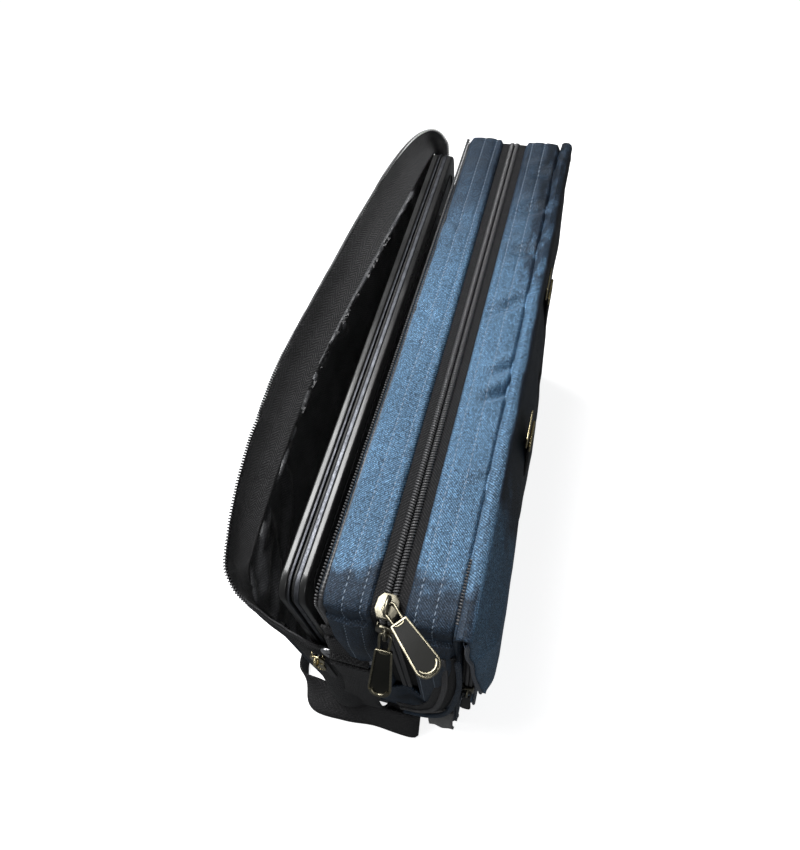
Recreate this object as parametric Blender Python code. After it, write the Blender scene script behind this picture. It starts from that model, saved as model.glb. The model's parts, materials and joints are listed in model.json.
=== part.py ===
"""Padded carry case with a zipped main compartment, an open rear sleeve and a front flap.

Frame: origin at the middle of the main body's base, +X along the long side, -Y to the
flap side, +Y to the sleeve side, +Z up. Sizes below are millimetres, the model is metres.
"""
import math

import bmesh
import bpy
from mathutils import Vector

MM = 0.001
GAP = 0.3                    # between pieces that touch

# main body
BODY_LENGTH = 400.0
BODY_DEPTH = 76.0
BODY_HEIGHT = 300.0
WALL = 3.0                   # padded fabric
CORNER_RADIUS = 10.0         # top corners, seen from the front
BOARD = 2.0                  # base stiffener
BOARD_MARGIN = 6.0
SEAM_DROP = 180.0            # how far the main zip comes down each end

# main zip
TAPE_OPENING = 17.6          # between the two sewn edges
TAPE_WIDTH = 16.0
TAPE = 0.8
CHAIN_WIDTH = 8.0
CHAIN = 2.4
CHAIN_RECESS = 0.6

# rear sleeve and its cover
SLEEVE_DEPTH = 39.0
SLEEVE_WALL = 2.5
SLEEVE_END_HEIGHT = BODY_HEIGHT - 115    # sewn part of the sleeve's end gussets
COVER = 3.0
COVER_LEAN = 5.6             # degrees out from upright, at rest
COVER_NEAR_HEIGHT = BODY_HEIGHT - 38
COVER_FAR_HEIGHT = BODY_HEIGHT - 12
COVER_NEAR_RADIUS = 24.0
COVER_FAR_RADIUS = 12.0
COVER_NEAR_TUCK = 16.0       # how far its near end is drawn in, at the top of the sleeve's end
COVER_NEAR_FLARE = 6.0       # how much of that it loses above
COVER_FAR_TUCK = 34.0        # how far its far top corner is drawn in
LINING = 1.5
LINING_MARGIN = 14.0
BAND = 1.4
HALF_CHAIN = 2.4
REAR_CHAIN_WIDTH = 6.0
SLEEVE_CHAIN_LENGTH = 75.0   # closed stretch of the sleeve's zip, on each end

# inner case
INNER_LENGTH = BODY_LENGTH - 9
INNER_DEPTH = 16.0
INNER_HEIGHT = BODY_HEIGHT - 20
INNER_SPACE = 12.0           # between the case's rear wall and the inner case
INNER_RADIUS = 14.0
TRIM = 2.2
TRIM_PROUD = 0.5
SEAL = 1.6

# front pocket and flap
POCKET_LENGTH = BODY_LENGTH - 30
POCKET_DEPTH = 12.0          # at its near end
POCKET_TAPER = 9.0           # how much less it is at the far end
POCKET_TOP = BODY_HEIGHT - 20
POCKET_BOTTOM = 14.0
POCKET_RADIUS = 18.0
POCKET_WALL = 1.6
POCKET_CHAIN_WIDTH = 6.0
POCKET_CHAIN = 1.6
POCKET_ZIP_START = 95.0      # height of the zip's lower end on the near side
POCKET_ZIP_REACH = BODY_LENGTH / 2 - 50    # where it ends, along the top
FLAP = 2.5
FLAP_LENGTH = BODY_LENGTH + 2
FLAP_BOTTOM = BODY_HEIGHT - 135
FLAP_RADIUS = 12.0
PATCH = 1.2
PATCH_SIZE = (60.0, 30.0)

# carry handle on the flap
HANDLE_SPAN = 124.0
HANDLE_WIDTH = 16.0
HANDLE_THICKNESS = 3.4
HANDLE_DROP = 49.0
HANDLE_RADIUS = 16.0
HANDLE_PIVOT_DROP = 25.0     # below the top of the case
CHAPE = 1.3

# shoulder strap, its rings and tabs
STRAP_WIDTH = 30.0
STRAP = 1.6
STRAP_REACH = BODY_LENGTH / 2 - 30    # half its straight run behind the case
RING_WIRE = 4.0
RING_INNER = 33.0
RING_DROP = 20.0
RING_Y = 29.0
RING_TOP = BODY_HEIGHT - 88
TAB_WIDTH = 25.0
TAB = 1.6
TAB_TOP = RING_TOP + 46

# zip sliders and pulls
SLIDER_LENGTH = 14.5
SLIDER_A_REST = BODY_LENGTH / 2 - 6.8    # along the top, towards the near end
SLIDER_B_REST = BODY_HEIGHT - 17    # height on the near end
SLIDER_PLATE = 2.0
SLIDER_LIP = 1.9
BRIDGE_HALF = 4.0
BRIDGE_EYE_HALF = 2.5
BRIDGE_HEIGHT = 3.6
BRIDGE_ROOF = 1.4
PULL = 1.2
PULL_LENGTH = 41.0
PULL_WIDE = 15.0
PULL_NARROW = 10.8
PULL_EYE = 8.0

HALF_LENGTH = BODY_LENGTH / 2
HALF_DEPTH = BODY_DEPTH / 2
SLEEVE_BACK = HALF_DEPTH + SLEEVE_DEPTH
ZIP_END = BODY_HEIGHT - SEAM_DROP
PIN_HEIGHT = GAP + SLIDER_PLATE + 0.15 + (BRIDGE_HEIGHT - BRIDGE_ROOF) / 2


# ---------------------------------------------------------------- helpers

def clear_scene():
    for item in list(bpy.data.objects):
        bpy.data.objects.remove(item, do_unlink=True)


def finish_of(name, colour, roughness, metallic=0.0):
    """A Principled material."""
    made = bpy.data.materials.new(name)
    made.use_nodes = True
    shader = made.node_tree.nodes["Principled BSDF"]
    shader.inputs["Base Color"].default_value = (*colour, 1.0)
    shader.inputs["Roughness"].default_value = roughness
    shader.inputs["Metallic"].default_value = metallic
    return made


def put(name, bm, finish, origin=(0, 0, 0), parent=None):
    """Makes one named object; bm is in millimetres about origin, which is in the parent's frame."""
    bmesh.ops.scale(bm, vec=Vector((MM, MM, MM)), verts=bm.verts)
    bmesh.ops.recalc_face_normals(bm, faces=bm.faces)
    if bm.calc_volume(signed=True) < 0:
        bmesh.ops.reverse_faces(bm, faces=bm.faces)
    mesh = bpy.data.meshes.new(name)
    bm.to_mesh(mesh)
    bm.free()
    mesh.materials.append(finish)
    made = bpy.data.objects.new(name, mesh)
    made.location = Vector(origin) * MM
    made.parent = parent
    bpy.context.collection.objects.link(made)
    return made


def pivot(name, origin, turn=(0, 0, 0), parent=None):
    """An empty that stands on a joint's axis."""
    made = bpy.data.objects.new(name, None)
    made.location = Vector(origin) * MM
    made.rotation_euler = turn
    made.parent = parent
    bpy.context.collection.objects.link(made)
    return made


def block(low, high, bevel=0.0):
    """A box between two corners, with its edges rounded if asked."""
    bm = bmesh.new()
    bmesh.ops.create_cube(bm, size=1.0)
    low, high = Vector(low), Vector(high)
    bmesh.ops.scale(bm, vec=high - low, verts=bm.verts)
    bmesh.ops.translate(bm, vec=(low + high) / 2, verts=bm.verts)
    if bevel:
        bmesh.ops.bevel(bm, geom=bm.edges[:], offset=bevel, segments=2, profile=0.5, affect="EDGES")
    return bm


def raised(flat, lift):
    """A prism: the flat outline pushed along lift."""
    bm = bmesh.new()
    bm.faces.new([bm.verts.new(point) for point in flat])
    pushed = bmesh.ops.extrude_face_region(bm, geom=bm.faces[:])
    moved = [item for item in pushed["geom"] if isinstance(item, bmesh.types.BMVert)]
    bmesh.ops.translate(bm, vec=Vector(lift), verts=moved)
    return bm


def rounded(corners, radii, steps=6, closed=False):
    """A polyline through 2D corners, with an arc of the given radius at each."""
    line = []
    count = len(corners)
    for i, corner in enumerate(corners):
        here = Vector(corner)
        if radii[i] <= 0 or (not closed and i in (0, count - 1)):
            line.append(here)
            continue
        back = (Vector(corners[i - 1]) - here).normalized()
        ahead = (Vector(corners[(i + 1) % count]) - here).normalized()
        half = back.angle(ahead) / 2
        centre = here + (back + ahead).normalized() * (radii[i] / math.sin(half))
        start = here + back * (radii[i] / math.tan(half)) - centre
        end = here + ahead * (radii[i] / math.tan(half)) - centre
        for step in range(steps + 1):
            line.append(centre + start.slerp(end, step / steps) * radii[i])
    return line


def inset(line, depth):
    """The open 2D line moved to its right by depth."""
    moved = []
    for i, here in enumerate(line):
        back = (here - line[i - 1]).normalized() if i else None
        ahead = (line[i + 1] - here).normalized() if i + 1 < len(line) else back
        back = back or ahead
        side = Vector((back.y + ahead.y, -back.x - ahead.x)).normalized()
        stretch = side.dot(Vector((back.y, -back.x)))
        moved.append(here + side * (depth / stretch))
    return moved


def wrap(line, outer_depth, inner_depth, low_y, high_y):
    """A strip that follows a 2D (x, z) line, between two depths and two y values."""
    outer = inset(line, outer_depth)
    inner = inset(line, inner_depth)
    bm = bmesh.new()
    rows = []
    for a, b in zip(outer, inner):
        rows.append((bm.verts.new((a.x, low_y, a.y)), bm.verts.new((b.x, low_y, b.y))))
    for first, second in zip(rows, rows[1:]):
        bm.faces.new((first[0], second[0], second[1], first[1]))
    pushed = bmesh.ops.extrude_face_region(bm, geom=bm.faces[:])
    moved = [item for item in pushed["geom"] if isinstance(item, bmesh.types.BMVert)]
    bmesh.ops.translate(bm, vec=(0, high_y - low_y, 0), verts=moved)
    return bm


def panel(half_length, low_z, high_z, bottom_radius, top_radius, low_y, high_y):
    """An upright board with rounded corners."""
    corners = [(-half_length, low_z), (half_length, low_z), (half_length, high_z), (-half_length, high_z)]
    radii = [bottom_radius, bottom_radius, top_radius, top_radius]
    outline = rounded(corners, radii, closed=True)
    return raised([(p.x, low_y, p.y) for p in outline], (0, high_y - low_y, 0))


def smooth_route(points, steps=4):
    """A smooth curve through points, each any number of values."""
    ends = [[2 * a - b for a, b in zip(points[0], points[1])], [2 * a - b for a, b in zip(points[-1], points[-2])]]
    full = [ends[0], *points, ends[1]]
    line = []
    for i in range(1, len(full) - 2):
        for step in range(steps):
            t = step / steps
            before, here, after, later = full[i - 1:i + 3]
            line.append([
                0.5 * (2 * b + (c - a) * t + (2 * a - 5 * b + 4 * c - d) * t * t + (3 * b - a - 3 * c + d) * t ** 3)
                for a, b, c, d in zip(before, here, after, later)])
    line.append(list(points[-1]))
    return line


def ribbon(rows, width):
    """A sheet one strap wide: rows are (centre, side), with side a direction across the strap."""
    bm = bmesh.new()
    edges = []
    for centre, side in rows:
        across = Vector(side).normalized() * width / 2
        edges.append((bm.verts.new(Vector(centre) - across), bm.verts.new(Vector(centre) + across)))
    for first, second in zip(edges, edges[1:]):
        bm.faces.new((first[0], second[0], second[1], first[1]))
    return bm


def thicken(made, thickness):
    """Gives a sheet its thickness, half to each side."""
    solid = made.modifiers.new("thickness", "SOLIDIFY")
    solid.thickness = thickness * MM
    solid.offset = 0.0
    solid.use_even_offset = True
    made.modifiers.new("facets", "TRIANGULATE")


def combine(made, helper, operation):
    """Joins the helper to the object, or cuts it out, and leaves the helper out of the model."""
    step = made.modifiers.new(helper.name, "BOOLEAN")
    step.operation = operation
    step.solver = "EXACT"
    step.object = helper
    helper.hide_render = True
    helper.display_type = "WIRE"


def wire(name, points, thickness, finish, closed=False, parent=None):
    """A round wire or cord through 3D points."""
    shape = bpy.data.curves.new(name, "CURVE")
    shape.dimensions = "3D"
    shape.bevel_depth = thickness / 2 * MM
    shape.bevel_resolution = 2
    shape.use_fill_caps = True
    run = shape.splines.new("POLY")
    run.points.add(len(points) - 1)
    for spot, point in zip(run.points, points):
        spot.co = (*(Vector(point) * MM), 1.0)
    run.use_cyclic_u = closed
    run.use_smooth = True
    shape.materials.append(finish)
    made = bpy.data.objects.new(name, shape)
    made.parent = parent
    bpy.context.collection.objects.link(made)
    return made


# ---------------------------------------------------------------- main body

def body_line(low):
    """Outline of the case from the near end, over the top, to the far end, down to z = low."""
    corners = [(-HALF_LENGTH, low), (-HALF_LENGTH, BODY_HEIGHT), (HALF_LENGTH, BODY_HEIGHT), (HALF_LENGTH, low)]
    return rounded(corners, [0, CORNER_RADIUS, CORNER_RADIUS, 0])


def make_body(cloth, lining, board):
    for name, outer in (("front_wall", -HALF_DEPTH), ("rear_wall", HALF_DEPTH)):
        inner = outer - math.copysign(WALL, outer)
        shape = panel(HALF_LENGTH, 0, BODY_HEIGHT, 2.0, CORNER_RADIUS, min(outer, inner), max(outer, inner))
        put(name, shape, cloth)
    inside = HALF_DEPTH - WALL - GAP
    put("base_panel", block((-HALF_LENGTH, -inside, 0), (HALF_LENGTH, inside, WALL)), cloth)
    reach = HALF_LENGTH - WALL - BOARD_MARGIN
    board_low = (-reach, -inside + BOARD_MARGIN / 2, WALL + GAP)
    board_high = (reach, inside - BOARD_MARGIN / 2, WALL + GAP + BOARD)
    put("base_board", block(board_low, board_high), board)
    for name, side in (("end_panel_near", -1), ("end_panel_far", 1)):
        faces = sorted((side * HALF_LENGTH, side * (HALF_LENGTH - WALL)))
        shape = block((faces[0], -inside, WALL + GAP), (faces[1], inside, ZIP_END - GAP))
        put(name, shape, cloth)
    edge = TAPE_OPENING / 2
    line = body_line(ZIP_END)
    put("top_strip_rear", wrap(line, 0, WALL, edge, inside), cloth)
    put("top_strip_front", wrap(line, 0, WALL, -inside, -edge), cloth)
    tape_top = WALL + GAP
    put("main_zip_tape_rear", wrap(line, tape_top, tape_top + TAPE, GAP / 2, TAPE_WIDTH), lining)
    put("main_zip_tape_front", wrap(line, tape_top, tape_top + TAPE, -TAPE_WIDTH, -GAP / 2), lining)
    half = CHAIN_WIDTH / 2
    put("main_zip_chain", wrap(line, CHAIN_RECESS, CHAIN_RECESS + CHAIN - GAP, -half, half), lining)


# ---------------------------------------------------------------- rear sleeve

def make_sleeve(lining):
    floor_low = (-HALF_LENGTH + SLEEVE_WALL, HALF_DEPTH + GAP, 0)
    put("sleeve_floor", block(floor_low, (HALF_LENGTH - SLEEVE_WALL, SLEEVE_BACK, SLEEVE_WALL)), lining)
    chain_y = HALF_DEPTH + SLEEVE_DEPTH / 2
    for side, end in ((-1, "near"), (1, "far")):
        faces = sorted((side * HALF_LENGTH, side * (HALF_LENGTH - SLEEVE_WALL)))
        low = (faces[0], HALF_DEPTH + GAP, SLEEVE_WALL + GAP)
        put("sleeve_end_" + end, block(low, (faces[1], SLEEVE_BACK, SLEEVE_END_HEIGHT)), lining)
        faces = sorted((side * (HALF_LENGTH + GAP), side * (HALF_LENGTH + GAP + CHAIN - CHAIN_RECESS)))
        low = (faces[0], chain_y - REAR_CHAIN_WIDTH / 2, SLEEVE_END_HEIGHT - SLEEVE_CHAIN_LENGTH)
        high = (faces[1], chain_y + REAR_CHAIN_WIDTH / 2, SLEEVE_END_HEIGHT)
        put("sleeve_zip_chain_" + end, block(low, high), lining)
    seam_y = HALF_DEPTH + GAP + HALF_CHAIN / 2
    seam = inset(body_line(SLEEVE_END_HEIGHT + 5), HALF_CHAIN / 2)
    wire("sleeve_zip_half_body", [(p.x, seam_y, p.y) for p in seam], HALF_CHAIN, lining)


def cover_top(x):
    """Height of the cover's top edge: it rises a little towards the far end."""
    share = min(max((x + HALF_LENGTH) / BODY_LENGTH, 0.0), 1.0)
    return COVER_NEAR_HEIGHT + (COVER_FAR_HEIGHT - COVER_NEAR_HEIGHT) * share ** 3


def cover_y(x, z):
    """Middle of the cover's cloth, from its hinge line: it leans out, and its ends are drawn in to the zip."""
    near = max((-x - 0.3 * HALF_LENGTH) / (0.7 * HALF_LENGTH), 0.0) ** 2
    far = max((x + 0.2 * HALF_LENGTH) / (1.2 * HALF_LENGTH), 0.0) ** 1.3
    above = min(max((z - SLEEVE_END_HEIGHT) / (COVER_NEAR_HEIGHT - SLEEVE_END_HEIGHT), 0.0), 1.0)
    near_tuck = COVER_NEAR_TUCK * min(z / SLEEVE_END_HEIGHT, 1.0) - COVER_NEAR_FLARE * above
    far_tuck = COVER_FAR_TUCK * (z / (0.9 * BODY_HEIGHT)) ** 1.9
    return z * math.tan(math.radians(COVER_LEAN)) - COVER / 2 - near * near_tuck - far * far_tuck


def cover_spot(u, v, margin):
    """A place on the cover in x and z, for u along it and v up it, with its corners rounded."""
    half, low = HALF_LENGTH - 2 - margin, 3 + margin
    x = (2 * u - 1) * half
    top = cover_top(x) - margin
    z = low + (top - low) * v
    for radius, way in ((COVER_NEAR_RADIUS, -1), (COVER_FAR_RADIUS, 1)):
        across, up = x * way - (half - radius), z - (top - radius)
        if across > 0 and up > 0:
            shrink = max(across, up) / math.hypot(across, up)
            x, z = way * (half - radius + across * shrink), top - radius + up * shrink
    return x, z


def cover_sheet(margin, thickness, face):
    """Cloth on the cover, margin in from its edge, with its middle set in from the cover's by face."""
    bm = bmesh.new()
    bmesh.ops.create_grid(bm, x_segments=24, y_segments=16, size=0.5)
    for vert in bm.verts:
        x, z = cover_spot(vert.co.x + 0.5, vert.co.y + 0.5, margin)
        vert.co = (x, cover_y(x, z) - face, z)
    shell = bmesh.ops.extrude_face_region(bm, geom=bm.faces[:])
    pushed = [item for item in shell["geom"] if isinstance(item, bmesh.types.BMVert)]
    bmesh.ops.translate(bm, vec=(0, thickness, 0), verts=pushed)
    bmesh.ops.translate(bm, vec=(0, -thickness / 2, 0), verts=bm.verts)
    bmesh.ops.triangulate(bm, faces=bm.faces)
    return bm


def cover_rows():
    """Rows across the cover's zip band: (sewn edge, zip edge), from the near sleeve zip over to the far one."""
    end, rise = HALF_LENGTH, SLEEVE_END_HEIGHT
    near, far = COVER_NEAR_HEIGHT, COVER_FAR_HEIGHT
    zipped = ((-end - 2, -23, rise + 5), (-end - 2, -10, rise + 32), (-end - 2, -2, rise + 60),
              (-end, 6, near + 9), (-end + 7, 15, near + 18), (-end + 18, 21, near + 19),
              (-0.78 * end, 28, near + 20), (-0.6 * end, 34, near + 21), (-0.42 * end, 37, near + 21),
              (-0.24 * end, 38, near + 22), (0.0, 35, near + 22), (0.24 * end, 31, near + 22),
              (0.47 * end, 27, near + 23), (0.62 * end, 22, near + 26), (0.75 * end, 17, near + 30),
              (end - 20, 10, far + 6), (end - 6, 1, far + 11), (end - 1.5, -9, far + 14), (end - 0.5, -16, far + 12),
              (end, -21, far + 5), (end + 0.5, -23, far - 5), (end + 0.5, -23, far - 48), (end + 0.5, -20, rise + 8))
    sewn = ((-end + 2, rise + 5), (-end + 2.5, rise + 32), (-end + 5, rise + 56), (-end + 12, near - 8),
            (-end + 20, near), (-end + 31, near), (-0.75 * end, near), (-0.6 * end, near), (-0.42 * end, near),
            (-0.24 * end, near), (-0.02 * end, near + 1), (0.22 * end, near + 3), (0.43 * end, near + 7),
            (0.58 * end, near + 10), (0.7 * end, near + 14), (0.81 * end, near + 20), (0.9 * end, near + 24),
            (end - 7, near + 23), (end - 3, near + 17), (end - 2, near + 9), (end - 1, near - 1),
            (end - 1, far - 50), (end - 1, rise + 8))
    rows = []
    for (x, z), zip_edge in zip(sewn, zipped):
        rows.append((x, cover_y(x, z), z, *zip_edge))
    return [(Vector(row[:3]), Vector(row[3:])) for row in smooth_route(rows, 3)]


def make_cover(cloth, lining):
    """The cover stands open about its hinge line. Its zip band turns in over the inner case at the ends."""
    hinge = pivot("sleeve_cover_hinge", (0, SLEEVE_BACK + GAP + COVER, 0))
    put("sleeve_cover_panel", cover_sheet(0.0, COVER, 0.0), cloth, parent=hinge)
    inward = COVER / 2 + GAP + LINING / 2
    put("sleeve_cover_lining", cover_sheet(LINING_MARGIN, LINING, inward), lining, parent=hinge)
    bm = bmesh.new()
    rows = []
    edge = []
    for sewn, zipped in cover_rows():
        across = (zipped - sewn).normalized()
        start = sewn + across * (COVER / 2 + GAP + 2 * BAND)
        rows.append((bm.verts.new(start), bm.verts.new(zipped)))
        edge.append(zipped + across * (HALF_CHAIN / 2 + GAP + BAND / 4))
    for first, second in zip(rows, rows[1:]):
        bm.faces.new((first[0], second[0], second[1], first[1]))
    band = put("sleeve_cover_band", bm, lining, parent=hinge)
    thicken(band, BAND)
    wire("sleeve_zip_half_cover", edge, HALF_CHAIN, lining, parent=hinge)


# ---------------------------------------------------------------- inner case

def make_inner_case(shell, trim, seal):
    """Slim hard case: two shells, a bright trim round each and a seal between them."""
    middle = HALF_DEPTH + INNER_SPACE + INNER_DEPTH / 2
    low = SLEEVE_WALL + GAP
    half = INNER_LENGTH / 2
    top = low + INNER_HEIGHT
    layers = [("inner_case_seal", -SEAL / 2, SEAL / 2, seal, -0.8)]
    edge = SEAL / 2 + GAP
    for side, end in ((-1, "front"), (1, "rear")):
        layers.append(("inner_case_trim_" + end, side * edge, side * (edge + TRIM), trim, TRIM_PROUD))
        face = edge + TRIM + GAP
        layers.append(("inner_case_shell_" + end, side * face, side * INNER_DEPTH / 2, shell, 0.0))
    for name, start, stop, finish, proud in layers:
        faces = sorted((middle + start, middle + stop))
        shape = panel(half + proud, low - min(proud, 0), top + proud, 4, INNER_RADIUS, *faces)
        put(name, shape, finish)


# ---------------------------------------------------------------- front pocket and flap

def tapered(bm, origin=(0, 0, 0)):
    """Brings what stands in front of the case nearer to it towards the far end, along with the pocket."""
    full = POCKET_DEPTH - POCKET_WALL - 2 * GAP
    for vert in bm.verts:
        x, y = vert.co.x + origin[0], vert.co.y + origin[1]
        depth = min(max((-HALF_DEPTH - GAP - y) / full, 0.0), 1.0)
        vert.co.y += depth * POCKET_TAPER * (x + HALF_LENGTH) / BODY_LENGTH
    bmesh.ops.triangulate(bm, faces=bm.faces)
    return bm


def pocket_line():
    """The pocket's edge from the zip's start on the near side, over the top, to the zip's end."""
    half = POCKET_LENGTH / 2
    corners = [(-half, POCKET_ZIP_START), (-half, POCKET_TOP), (POCKET_ZIP_REACH, POCKET_TOP)]
    return rounded(corners, [0, POCKET_RADIUS, 0])


def make_pocket(cloth, lining):
    front = -HALF_DEPTH - POCKET_DEPTH
    half = POCKET_LENGTH / 2
    shape = panel(half, POCKET_BOTTOM, POCKET_TOP, POCKET_RADIUS, POCKET_RADIUS, front, front + POCKET_WALL)
    put("pocket_panel", tapered(shape), cloth)
    back_y = -HALF_DEPTH - GAP
    front_y = front + POCKET_WALL + GAP
    zipped = pocket_line()
    put("pocket_zip_tape", tapered(wrap(zipped, 0, TAPE, front_y, back_y)), lining)
    middle = (front_y + back_y) / 2
    reach = POCKET_CHAIN_WIDTH / 2
    chain = wrap(zipped, -GAP - POCKET_CHAIN, -GAP, middle - reach, middle + reach)
    put("pocket_zip_chain", tapered(chain), lining)
    corners = [(POCKET_ZIP_REACH + GAP, POCKET_TOP), (half, POCKET_TOP), (half, POCKET_BOTTOM),
               (-half, POCKET_BOTTOM), (-half, POCKET_ZIP_START - GAP)]
    sewn = rounded(corners, [0, POCKET_RADIUS, POCKET_RADIUS, POCKET_RADIUS, 0])
    put("pocket_gusset", tapered(wrap(sewn, 0, POCKET_WALL, front_y, back_y)), cloth)
    low = (-PATCH_SIZE[0] / 2, front - GAP - PATCH, FLAP_BOTTOM + 8)
    high = (PATCH_SIZE[0] / 2, front - GAP, FLAP_BOTTOM + 8 + PATCH_SIZE[1])
    put("pocket_hook_patch", tapered(block(low, high)), lining)
    return middle


def make_flap(cloth, lining, webbing, metal):
    """The flap hangs from the front top seam, over the pocket, and carries the handle."""
    inner_y = -HALF_DEPTH - POCKET_DEPTH - 2 * (PATCH + GAP) - GAP
    outer_y = inner_y - FLAP
    hinge = (0, -HALF_DEPTH - GAP, BODY_HEIGHT + GAP)
    root_y = -HALF_DEPTH - 2 * GAP
    line = rounded([(root_y, BODY_HEIGHT), (outer_y, BODY_HEIGHT), (outer_y, FLAP_BOTTOM)], [0, FLAP_RADIUS, 0])
    inner = inset(line, -FLAP)
    outline = [(-FLAP_LENGTH / 2, p.x, p.y) for p in line]
    outline += [(-FLAP_LENGTH / 2, p.x, p.y) for p in reversed(inner)]
    shape = raised(outline, (FLAP_LENGTH, 0, 0))
    tapered(shape)
    bmesh.ops.translate(shape, vec=-Vector(hinge), verts=shape.verts)
    put("front_flap", shape, cloth, hinge)
    low = Vector((-PATCH_SIZE[0] / 2, inner_y + GAP, FLAP_BOTTOM + 8)) - Vector(hinge)
    high = Vector((PATCH_SIZE[0] / 2, inner_y + GAP + PATCH, FLAP_BOTTOM + 8 + PATCH_SIZE[1])) - Vector(hinge)
    put("flap_loop_patch", tapered(block(low, high), hinge), lining, hinge)

    pivot_y = outer_y - GAP - CHAPE - HANDLE_THICKNESS / 2 + 0.4
    pivot_z = BODY_HEIGHT - HANDLE_PIVOT_DROP
    span = HANDLE_SPAN / 2 + HANDLE_WIDTH / 2
    low_z = -HANDLE_DROP - HANDLE_WIDTH / 2
    route = rounded([(-span, 0), (-span, low_z), (span, low_z), (span, 0)], [0, HANDLE_RADIUS + HANDLE_WIDTH / 2,
                    HANDLE_RADIUS + HANDLE_WIDTH / 2, 0])
    shape = wrap(route, -HANDLE_WIDTH, 0, -HANDLE_THICKNESS / 2, HANDLE_THICKNESS / 2)
    put("front_handle", tapered(shape, (0, pivot_y, pivot_z)), webbing, (0, pivot_y, pivot_z))
    for side, end in ((-1, "near"), (1, "far")):
        middle = side * HANDLE_SPAN / 2
        low = (middle - 11, outer_y - GAP - CHAPE, pivot_z + 2.5)
        high = (middle + 11, outer_y - GAP, pivot_z + 14)
        put("handle_chape_" + end, tapered(block(low, high)), metal)
    return pivot_y, pivot_z


# ---------------------------------------------------------------- zip sliders

def make_slider(name, place, chain_width, metal):
    """Slider on its chain: local +X along the chain, +Z away from it, chain's face at z = 0."""
    lip = chain_width / 2 + GAP
    side = lip + 1.6
    top = GAP + SLIDER_PLATE
    section = [(-side, -SLIDER_LIP), (-lip, -SLIDER_LIP), (-lip, GAP), (lip, GAP), (lip, -SLIDER_LIP),
               (side, -SLIDER_LIP), (side, top), (-side, top)]
    shape = raised([(-SLIDER_LENGTH / 2, y, z) for y, z in section], (SLIDER_LENGTH, 0, 0))
    made = put(name, shape, metal, parent=place)
    foot = top - 0.5
    arch = [(-BRIDGE_HALF, foot), (-BRIDGE_EYE_HALF, foot), (-BRIDGE_EYE_HALF, top + BRIDGE_HEIGHT - BRIDGE_ROOF),
            (BRIDGE_EYE_HALF, top + BRIDGE_HEIGHT - BRIDGE_ROOF), (BRIDGE_EYE_HALF, foot), (BRIDGE_HALF, foot),
            (BRIDGE_HALF, top + BRIDGE_HEIGHT - 1), (BRIDGE_HALF - 1, top + BRIDGE_HEIGHT),
            (-BRIDGE_HALF + 1, top + BRIDGE_HEIGHT), (-BRIDGE_HALF, top + BRIDGE_HEIGHT - 1)]
    bridge = put(name + "_bridge", raised([(x, -1.0, z) for x, z in arch], (0, 2.0, 0)), metal, parent=place)
    combine(made, bridge, "UNION")
    return made


def make_pull(name, place, metal, length=PULL_LENGTH, wide=PULL_WIDE, narrow=PULL_NARROW, thickness=PULL):
    """Pull hung on its pin: local +X from the pin to the tip, the pin along Y at the origin."""
    neck = PULL_EYE + 1.6
    tip = rounded([(neck, -narrow / 2), (length, -wide / 2), (length, wide / 2), (neck, narrow / 2)],
                  [0, wide * 0.42, wide * 0.42, 0])
    back = -PULL / 2
    outline = [(back, -narrow / 2 + 1), (back + 1, -narrow / 2)] + [(p.x, p.y) for p in tip]
    outline += [(back + 1, narrow / 2), (back, narrow / 2 - 1)]
    shape = raised([(x, y, -thickness / 2) for x, y in outline], (0, 0, thickness))
    made = put(name, shape, metal, parent=place)
    eye = put(name + "_eye", block((PULL / 2, -4.0, -5), (PULL / 2 + PULL_EYE, 4.0, 5)), metal, parent=place)
    combine(made, eye, "DIFFERENCE")
    return made


def make_zip_parts(dark_metal, brass, rubber, pocket_zip_y):
    top = BODY_HEIGHT - CHAIN_RECESS
    near = -HALF_LENGTH + CHAIN_RECESS
    # slider A runs along the top, slider B down the near end
    place_a = pivot("main_slider_a_place", (-SLIDER_A_REST, 0, top))
    make_slider("main_slider_a", place_a, CHAIN_WIDTH, dark_metal)
    swing_a = math.radians(180 + 49)
    pin_a = pivot("main_pull_a_pin", (-SLIDER_A_REST, 0, top + PIN_HEIGHT), (0, 0, swing_a))
    make_pull("main_pull_a", pin_a, dark_metal)
    place_b = pivot("main_slider_b_place", (near, 0, SLIDER_B_REST), (0, math.radians(-90), 0))
    make_slider("main_slider_b", place_b, CHAIN_WIDTH, dark_metal)
    hang_b = math.radians(38)
    pin_b = pivot("main_pull_b_pin", (near - PIN_HEIGHT, 0, SLIDER_B_REST), (0, math.radians(90) + hang_b, 0))
    make_pull("main_pull_b", pin_b, dark_metal)

    chain_y = HALF_DEPTH + SLEEVE_DEPTH / 2
    face = HALF_LENGTH + GAP + CHAIN - CHAIN_RECESS
    for side, end in ((-1, "near"), (1, "far")):
        height = SLEEVE_END_HEIGHT - SLIDER_LENGTH / 2
        place = pivot("sleeve_slider_%s_place" % end, (side * face, chain_y, height), (0, side * math.radians(90), 0))
        make_slider("sleeve_slider_" + end, place, REAR_CHAIN_WIDTH, brass)
        turn = (0, math.radians(90) - side * math.radians(6), 0)
        pin = pivot("sleeve_pull_%s_pin" % end, (side * (face + PIN_HEIGHT), chain_y, height), turn)
        make_pull("sleeve_pull_" + end, pin, brass, 24.0, 7.5, 10.6, PULL)

    face = POCKET_LENGTH / 2 + GAP + POCKET_CHAIN
    height = POCKET_ZIP_START + SLIDER_LENGTH / 2 + 2
    place = pivot("pocket_slider_place", (-face, pocket_zip_y, height), (0, math.radians(-90), 0))
    make_slider("pocket_slider", place, POCKET_CHAIN_WIDTH, dark_metal)
    turn = (0, math.radians(90) + math.radians(6), 0)
    pin = pivot("pocket_pull_pin", (-face - PIN_HEIGHT, pocket_zip_y, height), turn)
    make_pull("pocket_pull", pin, rubber, 42.0, 9.0, 9.4, PULL)


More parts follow.
